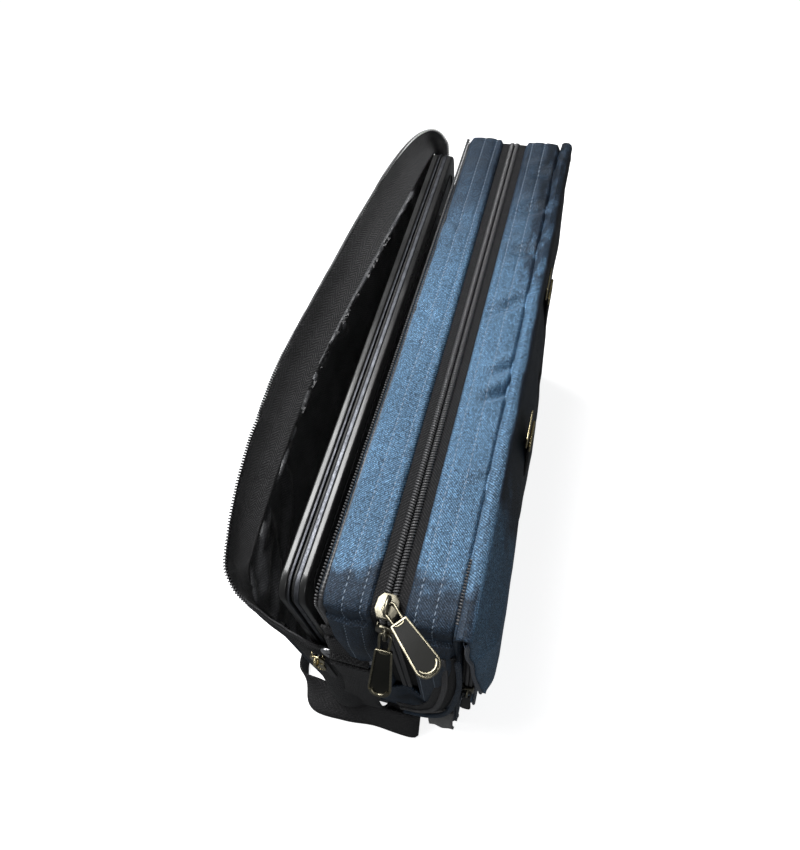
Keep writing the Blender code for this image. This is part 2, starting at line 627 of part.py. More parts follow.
# ---------------------------------------------------------------- shoulder strap

def make_strap(webbing, metal, plastic):
    ring_x = HALF_LENGTH + GAP + TAB + 1.2 + RING_WIRE / 2
    half = RING_INNER / 2 + RING_WIRE / 2
    for side, end in ((-1, "near"), (1, "far")):
        loop = rounded([(-half, 0), (half, 0), (half, -RING_DROP), (-half, -RING_DROP)], [3, 3, 15, 15], closed=True)
        points = [(side * ring_x, RING_Y + p.x, RING_TOP + p.y) for p in loop]
        wire("strap_ring_" + end, points, RING_WIRE, metal, closed=True)
        # tab: sewn flat above, folded round the ring's bar
        reach = RING_WIRE / 2 + 1.2 + TAB / 2
        centre = Vector((-ring_x, RING_TOP))
        rows = [Vector((centre.x + reach, TAB_TOP))]
        for step in range(9):
            angle = math.radians(20 - step * 32.5)
            rows.append(centre + Vector((math.cos(angle), math.sin(angle))) * reach)
        flat = [((-side * p.x, RING_Y, p.y), (0, 1, 0)) for p in rows]
        thicken(put("ring_tab_" + end, ribbon(flat, TAB_WIDTH), webbing), TAB)

    low = STRAP_WIDTH / 2 + 0.5
    lift = low + 4.2
    flat, upright = (0, 1, 0), (0, 0, 1)
    hang_x = ring_x + 0.2
    drop_top = RING_TOP - RING_DROP - RING_WIRE / 2 - GAP
    rear = SLEEVE_BACK + 26
    beside, near = rear - 15, rear - 43
    near_drop = [(-hang_x, RING_Y, drop_top, *flat), (-hang_x, RING_Y + 1, 150, *flat),
                 (-hang_x - 0.5, RING_Y + 7, 92, *flat), (-hang_x - 1, RING_Y + 13, 50, *flat),
                 (-hang_x - 2, RING_Y + 7, 26, 0, 0.84, -0.54), (-hang_x - 3, RING_Y - 9, low, 0, 0, -1)]
    near_run = [(-hang_x - 3, RING_Y - 9.5, low, *upright), (-hang_x - 3.5, 8, low, *upright),
                (-hang_x - 5, 0, low, *upright), (-hang_x - 8, -3.5, low, *upright),
                (-hang_x - 10.5, 1, low, *upright), (-hang_x - 10.5, 12, low, *upright),
                (-hang_x - 9, 35, low, *upright), (-hang_x - 7, near, low, *upright),
                (-hang_x - 4, beside, low, *upright), (-hang_x + 6, rear + 2, low, *upright),
                (-STRAP_REACH, rear + 6, low, *upright)]
    side, middle = STRAP_REACH - 60, STRAP_REACH - 120
    rear_run = [(-STRAP_REACH + 0.5, rear + 6, low, *upright), (-side, rear + 1, low, *upright),
                (-middle, rear + 2, low + 2, *upright), (0, rear + 4, lift, *upright),
                (middle, rear + 2, low + 2, *upright), (side, rear + 1, low, *upright),
                (STRAP_REACH - 0.5, rear + 6, low, *upright)]
    far_run = [(STRAP_REACH, rear + 6, low, *upright), (hang_x - 6, rear + 2, low, *upright),
               (hang_x + 7, beside, low, *upright), (hang_x + 6, near, low + 4, 0, 0.3, 0.95)]
    far_drop = [(hang_x + 6, near - 0.5, low + 4.2, 0, 0.3, 0.95), (hang_x + 4, near - 20, 42, 0, 0.8, 0.6),
                (hang_x + 2, near - 33, 80, *flat), (hang_x, RING_Y, 130, *flat), (hang_x, RING_Y, drop_top, *flat)]
    runs = (("strap_near_drop", near_drop), ("strap_near_run", near_run), ("strap_rear_run", rear_run),
            ("strap_far_run", far_run), ("strap_far_drop", far_drop))
    for name, route in runs:
        rows = [(row[:3], row[3:]) for row in smooth_route(route)]
        thicken(put(name, ribbon(rows, STRAP_WIDTH), webbing), STRAP)

    frame_y, frame_z = rear + 4, lift
    outer = (STRAP_WIDTH + 8) / 2
    made = put("strap_adjuster", block((-11, frame_y - 3, frame_z - outer), (11, frame_y + 3, frame_z + outer), 1.0),
               plastic)
    slot = (STRAP_WIDTH + 2) / 2
    cut = put("strap_adjuster_slot", block((-20, frame_y - 1.4, frame_z - slot), (20, frame_y + 1.4, frame_z + slot)),
              plastic)
    combine(made, cut, "DIFFERENCE")


# ---------------------------------------------------------------- assembly

def build():
    clear_scene()
    cloth = finish_of("blue_nylon", (0.03, 0.12, 0.24), 0.5)
    lining = finish_of("black_lining", (0.012, 0.012, 0.014), 0.4)
    board = finish_of("grey_board", (0.18, 0.18, 0.18), 0.8)
    webbing = finish_of("black_webbing", (0.015, 0.015, 0.017), 0.8)
    dark_metal = finish_of("dark_nickel", (0.35, 0.34, 0.31), 0.25, 1.0)
    brass = finish_of("pale_brass", (0.6, 0.52, 0.34), 0.3, 1.0)
    steel = finish_of("bright_steel", (0.6, 0.6, 0.62), 0.25, 1.0)
    shell = finish_of("black_shell", (0.01, 0.01, 0.011), 0.25)
    seal = finish_of("black_seal", (0.02, 0.02, 0.02), 0.7)
    make_body(cloth, lining, board)
    make_sleeve(lining)
    make_cover(cloth, lining)
    make_inner_case(shell, steel, seal)
    pocket_zip_y = make_pocket(cloth, lining)
    make_flap(cloth, lining, webbing, brass)
    make_zip_parts(dark_metal, brass, seal, pocket_zip_y)
    make_strap(webbing, steel, seal)
    bpy.context.view_layer.update()


build()
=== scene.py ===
"""The carry case's finished look: sewn nylon, coil zips, satin lining, webbing and plated metal."""
import json
import math

import bmesh
import bpy
from mathutils import Matrix, Vector, noise

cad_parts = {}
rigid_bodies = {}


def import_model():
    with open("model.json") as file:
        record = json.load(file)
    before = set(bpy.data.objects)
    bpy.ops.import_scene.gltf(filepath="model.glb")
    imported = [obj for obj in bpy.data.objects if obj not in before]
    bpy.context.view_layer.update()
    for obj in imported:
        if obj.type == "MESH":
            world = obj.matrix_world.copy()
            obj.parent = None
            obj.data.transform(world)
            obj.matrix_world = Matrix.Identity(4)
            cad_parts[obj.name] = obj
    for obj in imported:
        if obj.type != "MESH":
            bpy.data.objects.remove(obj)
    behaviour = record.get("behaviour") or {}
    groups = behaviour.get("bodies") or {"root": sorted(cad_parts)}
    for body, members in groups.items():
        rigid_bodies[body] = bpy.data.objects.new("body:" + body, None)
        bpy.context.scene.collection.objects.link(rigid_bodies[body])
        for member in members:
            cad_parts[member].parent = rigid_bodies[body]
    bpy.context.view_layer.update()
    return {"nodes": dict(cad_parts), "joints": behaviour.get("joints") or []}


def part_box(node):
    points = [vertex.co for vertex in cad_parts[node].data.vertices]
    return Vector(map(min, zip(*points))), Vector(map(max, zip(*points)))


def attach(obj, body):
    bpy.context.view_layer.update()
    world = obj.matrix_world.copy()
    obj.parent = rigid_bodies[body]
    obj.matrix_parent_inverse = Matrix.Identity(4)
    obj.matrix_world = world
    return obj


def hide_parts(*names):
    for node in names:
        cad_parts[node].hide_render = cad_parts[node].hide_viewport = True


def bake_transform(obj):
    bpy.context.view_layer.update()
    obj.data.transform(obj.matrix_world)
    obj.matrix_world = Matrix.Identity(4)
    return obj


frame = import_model()

MM = 0.001
X, Y, Z = Vector((1, 0, 0)), Vector((0, 1, 0)), Vector((0, 0, 1))

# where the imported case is
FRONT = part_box("front_wall")[0].y
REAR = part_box("rear_wall")[1].y
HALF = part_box("front_wall")[1].x
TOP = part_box("front_wall")[1].z
ZIP_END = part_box("top_strip_rear")[0].z
ZIP_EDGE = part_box("top_strip_rear")[0].y
SLEEVE_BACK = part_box("sleeve_floor")[1].y
SLEEVE_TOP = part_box("sleeve_end_near")[1].z
CHAIN_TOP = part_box("main_zip_chain")[1].z
CORNER = 0.010
FAR_CORNER = 0.0045
TAPE_WIDTH = 0.0155  # each half of the main zip's tape
STRAP_WIDTH = 0.030
COVER_LEAN = math.radians(5.6)
SEAM_ROWS = (0.0055, 0.0150)  # stitched rows on a top strip, from its zip edge
JOINTS = {joint["name"]: joint for joint in frame["joints"]}


# ---------------------------------------------------------------- small maths

def smooth(low, high, value):
    """0 below low, 1 above high, with an eased rise between them."""
    t = min(max((value - low) / (high - low), 0.0), 1.0)
    return t * t * (3 - 2 * t)


def hump(value, middle, spread):
    return math.exp(-((value - middle) / spread) ** 2)


def rough(point, size, seed=0.0):
    """Smooth noise from -1 to 1, with features about size across."""
    return noise.noise(Vector(point) / size + Vector((seed, seed * 1.7, seed * 0.3)))


def rounded(corners, radii, steps=10, closed=False):
    """A polyline through corners, with an arc of the given radius at each."""
    line = []
    count = len(corners)
    for i, corner in enumerate(corners):
        here = Vector(corner)
        if radii[i] <= 0 or (not closed and i in (0, count - 1)):
            line.append(here)
            continue
        back = (Vector(corners[i - 1]) - here).normalized()
        ahead = (Vector(corners[(i + 1) % count]) - here).normalized()
        half = back.angle(ahead) / 2
        centre = here + (back + ahead).normalized() * (radii[i] / math.sin(half))
        start = (here + back * (radii[i] / math.tan(half)) - centre).normalized()
        end = (here + ahead * (radii[i] / math.tan(half)) - centre).normalized()
        for step in range(steps + 1):
            line.append(centre + start.slerp(end, step / steps) * radii[i])
    if closed:
        line.append(line[0].copy())
    return line


class Run:
    """A path measured along its length."""

    def __init__(self, points):
        self.points = [Vector(p) for p in points]
        self.marks = [0.0]
        for a, b in zip(self.points, self.points[1:]):
            self.marks.append(self.marks[-1] + (b - a).length)
        self.length = self.marks[-1]

    def at(self, distance):
        """Point and direction at a distance from the start."""
        distance = min(max(distance, 0.0), self.length)
        i = 0
        while i < len(self.marks) - 2 and self.marks[i + 1] < distance:
            i += 1
        a, b = self.points[i], self.points[i + 1]
        share = (distance - self.marks[i]) / max(self.marks[i + 1] - self.marks[i], 1e-9)
        return a.lerp(b, share), (b - a).normalized()

    def smooth_at(self, distance, reach=0.0015):
        """As at(), with the direction averaged over a short stretch."""
        point = self.at(distance)[0]
        ahead = self.at(distance + reach)[0] - self.at(distance - reach)[0]
        return point, ahead.normalized()


def curve_through(points, steps=8):
    """A smooth curve through given points, each any number of values."""
    before = [2 * a - b for a, b in zip(points[0], points[1])]
    after = [2 * a - b for a, b in zip(points[-1], points[-2])]
    ends = [before, after]
    full = [ends[0], *points, ends[1]]
    line = []
    for i in range(1, len(full) - 2):
        for step in range(steps):
            t = step / steps
            before, here, after, later = full[i - 1:i + 3]
            line.append([
                0.5 * (2 * b + (c - a) * t + (2 * a - 5 * b + 4 * c - d) * t * t
                       + (3 * b - a - 3 * c + d) * t ** 3)
                for a, b, c, d in zip(before, here, after, later)])
    line.append(list(points[-1]))
    return line


# ---------------------------------------------------------------- finishes

class Finish:
    """A procedural material that is put together node by node."""

    def __init__(self, name, **settings):
        self.material = bpy.data.materials.new(name)
        self.material.use_nodes = True
        self.tree = self.material.node_tree
        self.shader = self.tree.nodes["Principled BSDF"]
        for label, value in settings.items():
            self.shader.inputs[label.replace("_", " ")].default_value = value

    def add(self, kind, inputs=(), **attributes):
        made = self.tree.nodes.new(kind)
        for key, value in attributes.items():
            setattr(made, key, value)
        for key, value in dict(inputs).items():
            self.feed(made.inputs[key], value)
        return made

    def feed(self, socket, value):
        if isinstance(value, bpy.types.NodeSocket):
            self.tree.links.new(value, socket)
        else:
            socket.default_value = value

    def sum(self, operation, a, b=0.0, c=0.0):
        made = self.add("ShaderNodeMath", operation=operation)
        for socket, value in zip(made.inputs, (a, b, c)):
            self.feed(socket, value)
        return made.outputs[0]

    def blend(self, share, a, b, kind="MIX"):
        made = self.add("ShaderNodeMix", data_type="RGBA", blend_type=kind)
        self.feed(made.inputs[0], share)
        self.feed(made.inputs[6], a)
        self.feed(made.inputs[7], b)
        return made.outputs[2]

    def ramp(self, value, low, high, out_low=0.0, out_high=1.0):
        inputs = {"Value": value, "From Min": low, "From Max": high, "To Min": out_low, "To Max": out_high}
        return self.add("ShaderNodeMapRange", inputs).outputs[0]

    def eased(self, value, low, high):
        inputs = {"Value": value, "From Min": low, "From Max": high}
        return self.add("ShaderNodeMapRange", inputs, interpolation_type="SMOOTHSTEP").outputs[0]

    def place(self, kind="Object"):
        return self.add("ShaderNodeTexCoord").outputs[kind]

    def noise(self, vector, scale, detail=2.0):
        inputs = {"Vector": vector, "Scale": scale, "Detail": detail}
        return self.add("ShaderNodeTexNoise", inputs).outputs["Fac"]

    def bump(self, height, strength, distance):
        inputs = {"Height": height, "Strength": strength, "Distance": distance}
        made = self.add("ShaderNodeBump", inputs)
        self.feed(self.shader.inputs["Normal"], made.outputs[0])

    def colour(self, value):
        self.feed(self.shader.inputs["Base Color"], value)


def woven(name, warp, weft, pitch, style="twill", depth=0.0004, strength=0.7, glitter=0.35, patches=0.0,
          **settings):
    """Cloth with threads: warp along U, weft across it, in metres on the piece's own UV map."""
    cloth = Finish(name, **settings)
    parts = cloth.add("ShaderNodeSeparateXYZ", {"Vector": cloth.place("UV")})
    a = cloth.sum("DIVIDE", parts.outputs[0], pitch)
    b = cloth.sum("DIVIDE", parts.outputs[1], pitch)
    thread_a, thread_b = cloth.sum("FLOOR", a), cloth.sum("FLOOR", b)
    if style == "herringbone":
        turned = cloth.sum("PINGPONG", thread_b, 6.0)
        step = cloth.sum("ADD", thread_a, turned)
    else:
        step = cloth.sum("ADD", thread_a, thread_b)
    over = cloth.sum("LESS_THAN", cloth.sum("FRACT", cloth.sum("DIVIDE", step, 3.0)), 0.5)
    rise_a = cloth.sum("SINE", cloth.sum("MULTIPLY", cloth.sum("FRACT", a), math.pi))
    rise_b = cloth.sum("SINE", cloth.sum("MULTIPLY", cloth.sum("FRACT", b), math.pi))
    height = cloth.add("ShaderNodeMix", {0: over, 2: rise_a, 3: rise_b}).outputs[0]
    spot = cloth.add("ShaderNodeCombineXYZ", {0: thread_a, 1: thread_b}).outputs[0]
    chance = cloth.add("ShaderNodeTexWhiteNoise", {"Vector": spot}).outputs["Value"]
    tint = cloth.blend(over, (*warp, 1), (*weft, 1))
    shade = cloth.sum("MULTIPLY", cloth.ramp(height, 0, 1, 0.35, 1.1),
                      cloth.ramp(chance, 0, 1, 1 - glitter, 1 + glitter))
    if patches:
        broad = cloth.noise(cloth.place(), 26.0, 3.0)
        shade = cloth.sum("MULTIPLY", shade, cloth.ramp(broad, 0.3, 0.7, 1 - patches, 1 + patches))
    grey = cloth.add("ShaderNodeCombineColor", {0: shade, 1: shade, 2: shade}).outputs[0]
    cloth.colour(cloth.blend(1.0, tint, grey, "MULTIPLY"))
    cloth.bump(height, strength, depth)
    return cloth


def blue_nylon():
    """Satin-faced nylon with light and shade painted into its colour: a painted sheen along the middle, navy
    elsewhere, and painted shade at the ends, over the flap and on the front strip's outer half.
    """
    cloth = woven("blue_nylon", (0.180, 0.305, 0.445), (0.050, 0.118, 0.205), 0.00054, depth=0.0003,
                  glitter=0.55, patches=0.12, Roughness=0.46, Specular_IOR_Level=0.32)
    place = cloth.place()
    parts = cloth.add("ShaderNodeSeparateXYZ", {"Vector": place})
    along, across = parts.outputs[0], parts.outputs[1]
    # painted sheen along the middle of the case, falling to painted shade towards both ends, with a ragged
    # edge between them
    ragged = cloth.ramp(cloth.noise(place, 45.0, 4.0), 0.25, 0.75, -0.022, 0.022)
    moved = cloth.sum("ADD", along, ragged)
    near = cloth.eased(moved, -0.182, -0.166)
    far = cloth.eased(moved, 0.175, 0.02)
    bright = cloth.sum("MULTIPLY", near, far)
    # painted shade over the flap, with a painted lit patch at its near end
    flap = cloth.eased(cloth.sum("ADD", across, cloth.sum("MULTIPLY", ragged, 0.05)), -0.0425, -0.0450)
    lit = cloth.sum("MULTIPLY", cloth.eased(moved, -0.105, -0.140), 0.9)
    bright = cloth.sum("ADD", cloth.sum("MULTIPLY", bright, cloth.sum("SUBTRACT", 1.0, flap)),
                       cloth.sum("MULTIPLY", lit, flap))
    level = cloth.ramp(bright, 0, 1, 0.22, 1.0)
    shaded = cloth.sum("MULTIPLY", flap, cloth.eased(moved, -0.14, -0.105))
    level = cloth.sum("MULTIPLY", level, cloth.ramp(shaded, 0, 1, 1.0, 0.55))
    # painted shade on the outer half of the front strip towards the far end, broken into streaks
    streaks = cloth.add("ShaderNodeVectorMath", {0: place, 1: (1.0, 2.4, 1.0)}, operation="MULTIPLY")
    shade_streaks = cloth.eased(cloth.noise(streaks.outputs[0], 60.0, 3.0), 0.60, 0.48)
    painted_strip_shade = cloth.sum("MULTIPLY", cloth.eased(across, -0.0255, -0.0300), cloth.eased(moved, 0.01, 0.06))
    level = cloth.sum("MULTIPLY", level, cloth.ramp(cloth.sum("MULTIPLY", painted_strip_shade, shade_streaks), 0, 1, 1.0, 0.38))
    level = cloth.sum("MULTIPLY", level, cloth.ramp(cloth.noise(place, 950.0, 2.0), 0.32, 0.68, 0.52, 1.58))
    red = cloth.sum("MULTIPLY", level, cloth.ramp(level, 0.2, 1, 1.2, 1.0))
    tint = cloth.add("ShaderNodeCombineColor", {0: red, 1: level, 2: level}).outputs[0]
    plain = cloth.shader.inputs["Base Color"].links[0].from_socket
    cloth.colour(cloth.blend(1.0, plain, tint, "MULTIPLY"))
    return cloth.material


def satin():
    """Black lining satin, with a soft uneven gloss."""
    cloth = woven("lining_satin", (0.085, 0.087, 0.090), (0.045, 0.046, 0.050), 0.0008, depth=0.00015,
                  strength=0.5, glitter=0.3, patches=0.75, Roughness=0.38, Sheen_Weight=0.15,
                  Sheen_Roughness=0.3)
    uneven = cloth.noise(cloth.place(), 30.0, 3.0)
    cloth.feed(cloth.shader.inputs["Roughness"], cloth.ramp(uneven, 0.3, 0.7, 0.3, 0.5))
    return cloth.material


def plated(name, colour, roughness):
    """Plated metal with fine scratches and duller patches."""
    metal = Finish(name, Metallic=1.0)
    place = metal.place()
    fine = metal.noise(place, 900.0, 3.0)
    broad = metal.noise(place, 160.0, 2.0)
    metal.feed(metal.shader.inputs["Roughness"], metal.ramp(fine, 0.2, 0.8, roughness * 0.7, roughness * 1.5))
    dull = tuple(channel * 0.62 for channel in colour)
    metal.colour(metal.blend(metal.ramp(broad, 0.35, 0.65), (*colour, 1), (*dull, 1)))
    metal.bump(fine, 0.15, 0.0001)
    return metal.material


def moulded(name, colour, roughness, grain=1200.0, **settings):
    """Moulded plastic, rubber or enamel with a fine grain."""
    plastic = Finish(name, **settings)
    place = plastic.place()
    fine = plastic.noise(place, grain, 2.0)
    broad = plastic.noise(place, 40.0, 3.0)
    gloss = plastic.ramp(broad, 0.3, 0.7, roughness * 0.8, roughness * 1.25)
    plastic.feed(plastic.shader.inputs["Roughness"], gloss)
    light = tuple(channel * 1.6 + 0.002 for channel in colour)
    plastic.colour(plastic.blend(plastic.ramp(broad, 0.3, 0.7), (*colour, 1), (*light, 1)))
    plastic.bump(fine, 0.2, 0.00008)
    return plastic.material


def thread(name, colour):
    """Twisted sewing thread or a coil's monofilament."""
    made = Finish(name, Roughness=0.3)
    place = made.place()
    wave = made.add("ShaderNodeTexWave", {"Vector": place, "Scale": 700.0, "Distortion": 1.0}).outputs["Fac"]
    dark = tuple(channel * 0.55 for channel in colour)
    made.colour(made.blend(wave, (*colour, 1), (*dark, 1)))
    made.bump(wave, 0.2, 0.0001)
    return made.material


BLUE = blue_nylon()
SATIN = satin()
TAPE = woven("zip_tape", (0.060, 0.060, 0.062), (0.006, 0.006, 0.007), 0.0006, "herringbone", depth=0.0005,
             Roughness=0.7, Sheen_Weight=0.08, Specular_IOR_Level=0.3).material
WEBBING = woven("webbing", (0.026, 0.025, 0.027), (0.005, 0.005, 0.006), 0.0013, "herringbone", depth=0.0006,
                Roughness=0.65, Sheen_Weight=0.06, Specular_IOR_Level=0.35).material
BLACK_CLOTH = woven("black_nylon", (0.016, 0.016, 0.018), (0.006, 0.006, 0.007), 0.0007, depth=0.0004,
                    Roughness=0.5, Sheen_Weight=0.05, Specular_IOR_Level=0.35).material
GREY_CLOTH = woven("grey_felt", (0.085, 0.085, 0.083), (0.05, 0.05, 0.05), 0.0008, depth=0.0004,
                   Roughness=0.85, Sheen_Weight=0.4).material
BINDING = woven("navy_binding", (0.030, 0.055, 0.095), (0.014, 0.028, 0.055), 0.0009, depth=0.0004,
                Roughness=0.5, Sheen_Weight=0.3).material
MAIN_TAPE = woven("main_zip_tape", (0.030, 0.030, 0.031), (0.004, 0.004, 0.005), 0.0007, depth=0.0004,
                  Roughness=0.7, Specular_IOR_Level=0.3).material
COIL = thread("coil_filament", (0.085, 0.085, 0.088))
STITCH = thread("pale_blue_thread", (0.30, 0.38, 0.48))
DARK_STITCH = thread("black_thread", (0.05, 0.05, 0.055))
NICKEL = plated("warm_nickel", (0.25, 0.23, 0.175), 0.32)
BRIGHT = plated("bright_rim", (0.30, 0.275, 0.20), 0.28)
BRASS = plated("pale_brass", (0.70, 0.60, 0.36), 0.22)
STEEL = plated("bright_steel", (0.74, 0.74, 0.76), 0.2)
SILVER = plated("silver_trim", (0.13, 0.135, 0.15), 0.48)
GUNMETAL = plated("gunmetal_trim", (0.06, 0.06, 0.065), 0.35)
ENAMEL = moulded("black_enamel", (0.006, 0.006, 0.005), 0.5, Specular_IOR_Level=0.12)
SHELL = moulded("black_shell", (0.012, 0.012, 0.012), 0.32, Coat_Weight=0.15)
RUBBER = moulded("black_rubber", (0.012, 0.012, 0.012), 0.55)
PLASTIC = moulded("black_plastic", (0.018, 0.018, 0.019), 0.4)
BOARD = moulded("grey_board", (0.16, 0.16, 0.15), 0.85)
HOOKS = moulded("hook_patch", (0.015, 0.015, 0.016), 0.9, 2500.0)


# ---------------------------------------------------------------- making pieces

def keep(name, bm, finishes):
    """Turns a bmesh into a smooth-shaded object at the origin."""
    mesh = bpy.data.meshes.new(name)
    bm.to_mesh(mesh)
    bm.free()
    mesh.shade_smooth()
    mesh.set_sharp_from_angle(angle=math.radians(45))
    for finish in finishes if isinstance(finishes, (list, tuple)) else [finishes]:
        mesh.materials.append(finish)
    made = bpy.data.objects.new(name, mesh)
    bpy.context.collection.objects.link(made)
    return made


def settle(made):
    """Applies a piece's modifiers, so that its mesh is its final shape."""
    bpy.context.view_layer.update()
    graph = bpy.context.evaluated_depsgraph_get()
    mesh = bpy.data.meshes.new_from_object(made.evaluated_get(graph))
    made.modifiers.clear()
    made.data = mesh
    return made


def thicken(made, thickness, side=-1.0):
    solid = made.modifiers.new("thickness", "SOLIDIFY")
    solid.thickness = thickness
    solid.offset = side
    solid.use_even_offset = False
    return made


def sheet(name, across, along, place, size, finish, thickness=0.0, side=-1.0):
    """Cloth from a flat grid: place(u, v) says where each point goes, size is the cut cloth in metres."""
    bm = bmesh.new()
    bmesh.ops.create_grid(bm, x_segments=across, y_segments=along, size=0.5)
    layer = bm.loops.layers.uv.new("UVMap")
    for face in bm.faces:
        for loop in face.loops:
            spot = loop.vert.co
            loop[layer].uv = ((spot.x + 0.5) * size[0], (spot.y + 0.5) * size[1])
    for vert in bm.verts:
        vert.co = place(vert.co.x + 0.5, vert.co.y + 0.5)
    made = keep(name, bm, finish)
    if thickness:
        thicken(made, thickness, side)
        settle(made)
    return made


def wire(name, points, radius, finish, closed=False, sides=4):
    """A round wire, cord or piping through points."""
    shape = bpy.data.curves.new(name, "CURVE")
    shape.dimensions = "3D"
    shape.bevel_depth = radius
    shape.bevel_resolution = sides
    shape.use_fill_caps = True
    run = shape.splines.new("POLY")
    run.points.add(len(points) - 1)
    for spot, point in zip(run.points, points):
        spot.co = (*point, 1.0)
    run.use_cyclic_u = closed
    rod = bpy.data.objects.new(name + "_path", shape)
    bpy.context.collection.objects.link(rod)
    bpy.context.view_layer.update()
    mesh = bpy.data.meshes.new_from_object(rod.evaluated_get(bpy.context.evaluated_depsgraph_get()))
    bpy.data.objects.remove(rod, do_unlink=True)
    mesh.name = name
    mesh.shade_smooth()
    mesh.materials.clear()
    mesh.materials.append(finish)
    made = bpy.data.objects.new(name, mesh)
    bpy.context.collection.objects.link(made)
    return made


def beads(name, spots, size, finish, sides=(8, 5)):
    """Many small rounded pieces, such as coil teeth or stitches: spots are (centre, along, out)."""
    bm = bmesh.new()
    bmesh.ops.create_uvsphere(bm, u_segments=sides[0], v_segments=sides[1], radius=0.5)
    bm.verts.index_update()
    ball = [vert.co.copy() for vert in bm.verts]
    skin = [[vert.index for vert in face.verts] for face in bm.faces]
    bm.free()
    points, faces = [], []
    for centre, along, out in spots:
        across = out.cross(along).normalized()
        start = len(points)
        for spot in ball:
            points.append(centre + along * (spot.x * size[0]) + across * (spot.y * size[1])
                          + out * (spot.z * size[2]))
        faces.extend([index + start for index in corner] for corner in skin)
    mesh = bpy.data.meshes.new(name)
    mesh.from_pydata(points, [], faces)
    mesh.shade_smooth()
    mesh.materials.append(finish)
    made = bpy.data.objects.new(name, mesh)
    bpy.context.collection.objects.link(made)
    return made


def ride(made, body, slot, *nodes):
    """Hangs a finished piece on its body, and hides the imported parts that it stands for."""
    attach(made, body)
    if nodes:
        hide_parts(*nodes)
    return made


def moved(made, matrix):
    made.data.transform(matrix)
    return made


def prism(bm, outline, lift):
    """Adds a flat outline pushed along lift, and returns its two end faces."""
    face = bm.faces.new([bm.verts.new(point) for point in outline])
    pushed = bmesh.ops.extrude_face_region(bm, geom=[face])
    verts = [item for item in pushed["geom"] if isinstance(item, bmesh.types.BMVert)]
    bmesh.ops.translate(bm, vec=lift, verts=verts)
    ends = [item for item in pushed["geom"] if isinstance(item, bmesh.types.BMFace)]
    return face, ends[0]


def solid_outline(name, outline, lift, finishes, bevel=0.0, segments=3):
    """A board cut to an outline, with its edges rounded."""
    bm = bmesh.new()
    first, last = prism(bm, outline, Vector(lift))
    if bevel:
        rim = list({edge for face in (first, last) for edge in face.edges})
        bmesh.ops.bevel(bm, geom=rim, offset=bevel, segments=segments, profile=0.5, affect="EDGES",
                        material=-1)
    bmesh.ops.recalc_face_normals(bm, faces=bm.faces)
    return keep(name, bm, finishes)


def box_outline(half, low, top, radius, low_radius=None, steps=10):
    """Rounded outline in x and z, as a closed list without its repeated last point."""
    corners = [(-half, low), (half, low), (half, top), (-half, top)]
    low_radius = radius if low_radius is None else low_radius
    return rounded(corners, [low_radius, low_radius, radius, radius], steps, True)[:-1]


def stitches(name, run, normal, finish, body, pitch=0.0036, start=0.0, end=None):
    """A row of stitches: run.at gives the line, normal(distance) the way out of the cloth."""
    spots = []
    distance = start + pitch / 2
    end = run.length if end is None else end
    while distance < end:
        point, direction = run.smooth_at(distance)
        out = normal(distance)
        tilt = (direction + direction.cross(out) * 0.12).normalized()
        spots.append((point + out * 0.0001, tilt, tilt.cross(out).cross(tilt).normalized()))
        distance += pitch
    made = beads(name, spots, (pitch * 0.72, 0.0006, 0.0005), finish, (6, 4))
    return ride(made, body, "blue_nylon")


# ---------------------------------------------------------------- main body

def body_run(depth, low=ZIP_END):
    """The case's outline from the near end over the top to the far end, as 3D points at y = 0."""
    half, top = HALF - depth, TOP - depth
    corners = [(-half, low), (-half, top), (half, top), (half, low)]
    line = rounded(corners, [0, CORNER - depth, FAR_CORNER - depth, 0])
    return Run([(p.x, 0, p.y) for p in line])


OUTLINE = body_run(0)


def out_of(direction):
    """The way out of the case for a direction along its outline."""
    return Vector((-direction.z, 0, direction.x))


DENTS = (  # x, y, depth, length, width, slant: creases that run in from the front seam
    (0.022, -0.027, 0.0030, 0.016, 0.0040, -0.9), (-0.031, -0.032, 0.0026, 0.011, 0.0030, -0.8),
    (-0.050, -0.033, 0.0034, 0.013, 0.0030, -0.9), (0.075, -0.030, 0.0024, 0.014, 0.0050, -0.7),
    (0.118, -0.029, 0.0020, 0.014, 0.0050, -0.8), (0.160, -0.030, 0.0022, 0.012, 0.0060, -0.6),
    (-0.112, -0.033, 0.0016, 0.010, 0.0040, -0.8), (0.004, 0.028, 0.0016, 0.010, 0.0035, 0.5),
    (-0.027, 0.020, 0.0012, 0.012, 0.0040, 0.7), (0.095, 0.026, 0.0014, 0.014, 0.0060, 0.6))


def top_relief(x, y, z):
    """How far the padded cloth stands out at a point near the case's top or ends."""
    lift = 0.0
    if z > TOP - 0.02:
        for middle_x, middle_y, depth, length, width, slant in DENTS:
            dx, dy = x - middle_x, y - middle_y
            along = (dx * slant + dy) / math.hypot(1, slant)
            across = (dx - dy * slant) / math.hypot(1, slant)
            lift -= depth * 1.7 * hump(along, 0, length) * hump(across, 0, width)
            lift += depth * 0.6 * hump(along, 0, length) * hump(across, width * 2.1, width)
        lift += 0.0010 * rough((x, y, 0), 0.034, 3.1) + 0.0004 * rough((x, y, 0), 0.012, 8.0)
        lift -= 0.0022 * smooth(HALF - 0.045, HALF, -x)
    else:
        belly = math.cos(min(abs(abs(y) - 0.021) / 0.020, 1.0) * math.pi / 2)
        lift += 0.0050 * belly * smooth(0.294, 0.24, z) * smooth(0.0, 0.09, z)
        lift += 0.0014 * rough((0, y, z), 0.030, 5.2)
    return lift


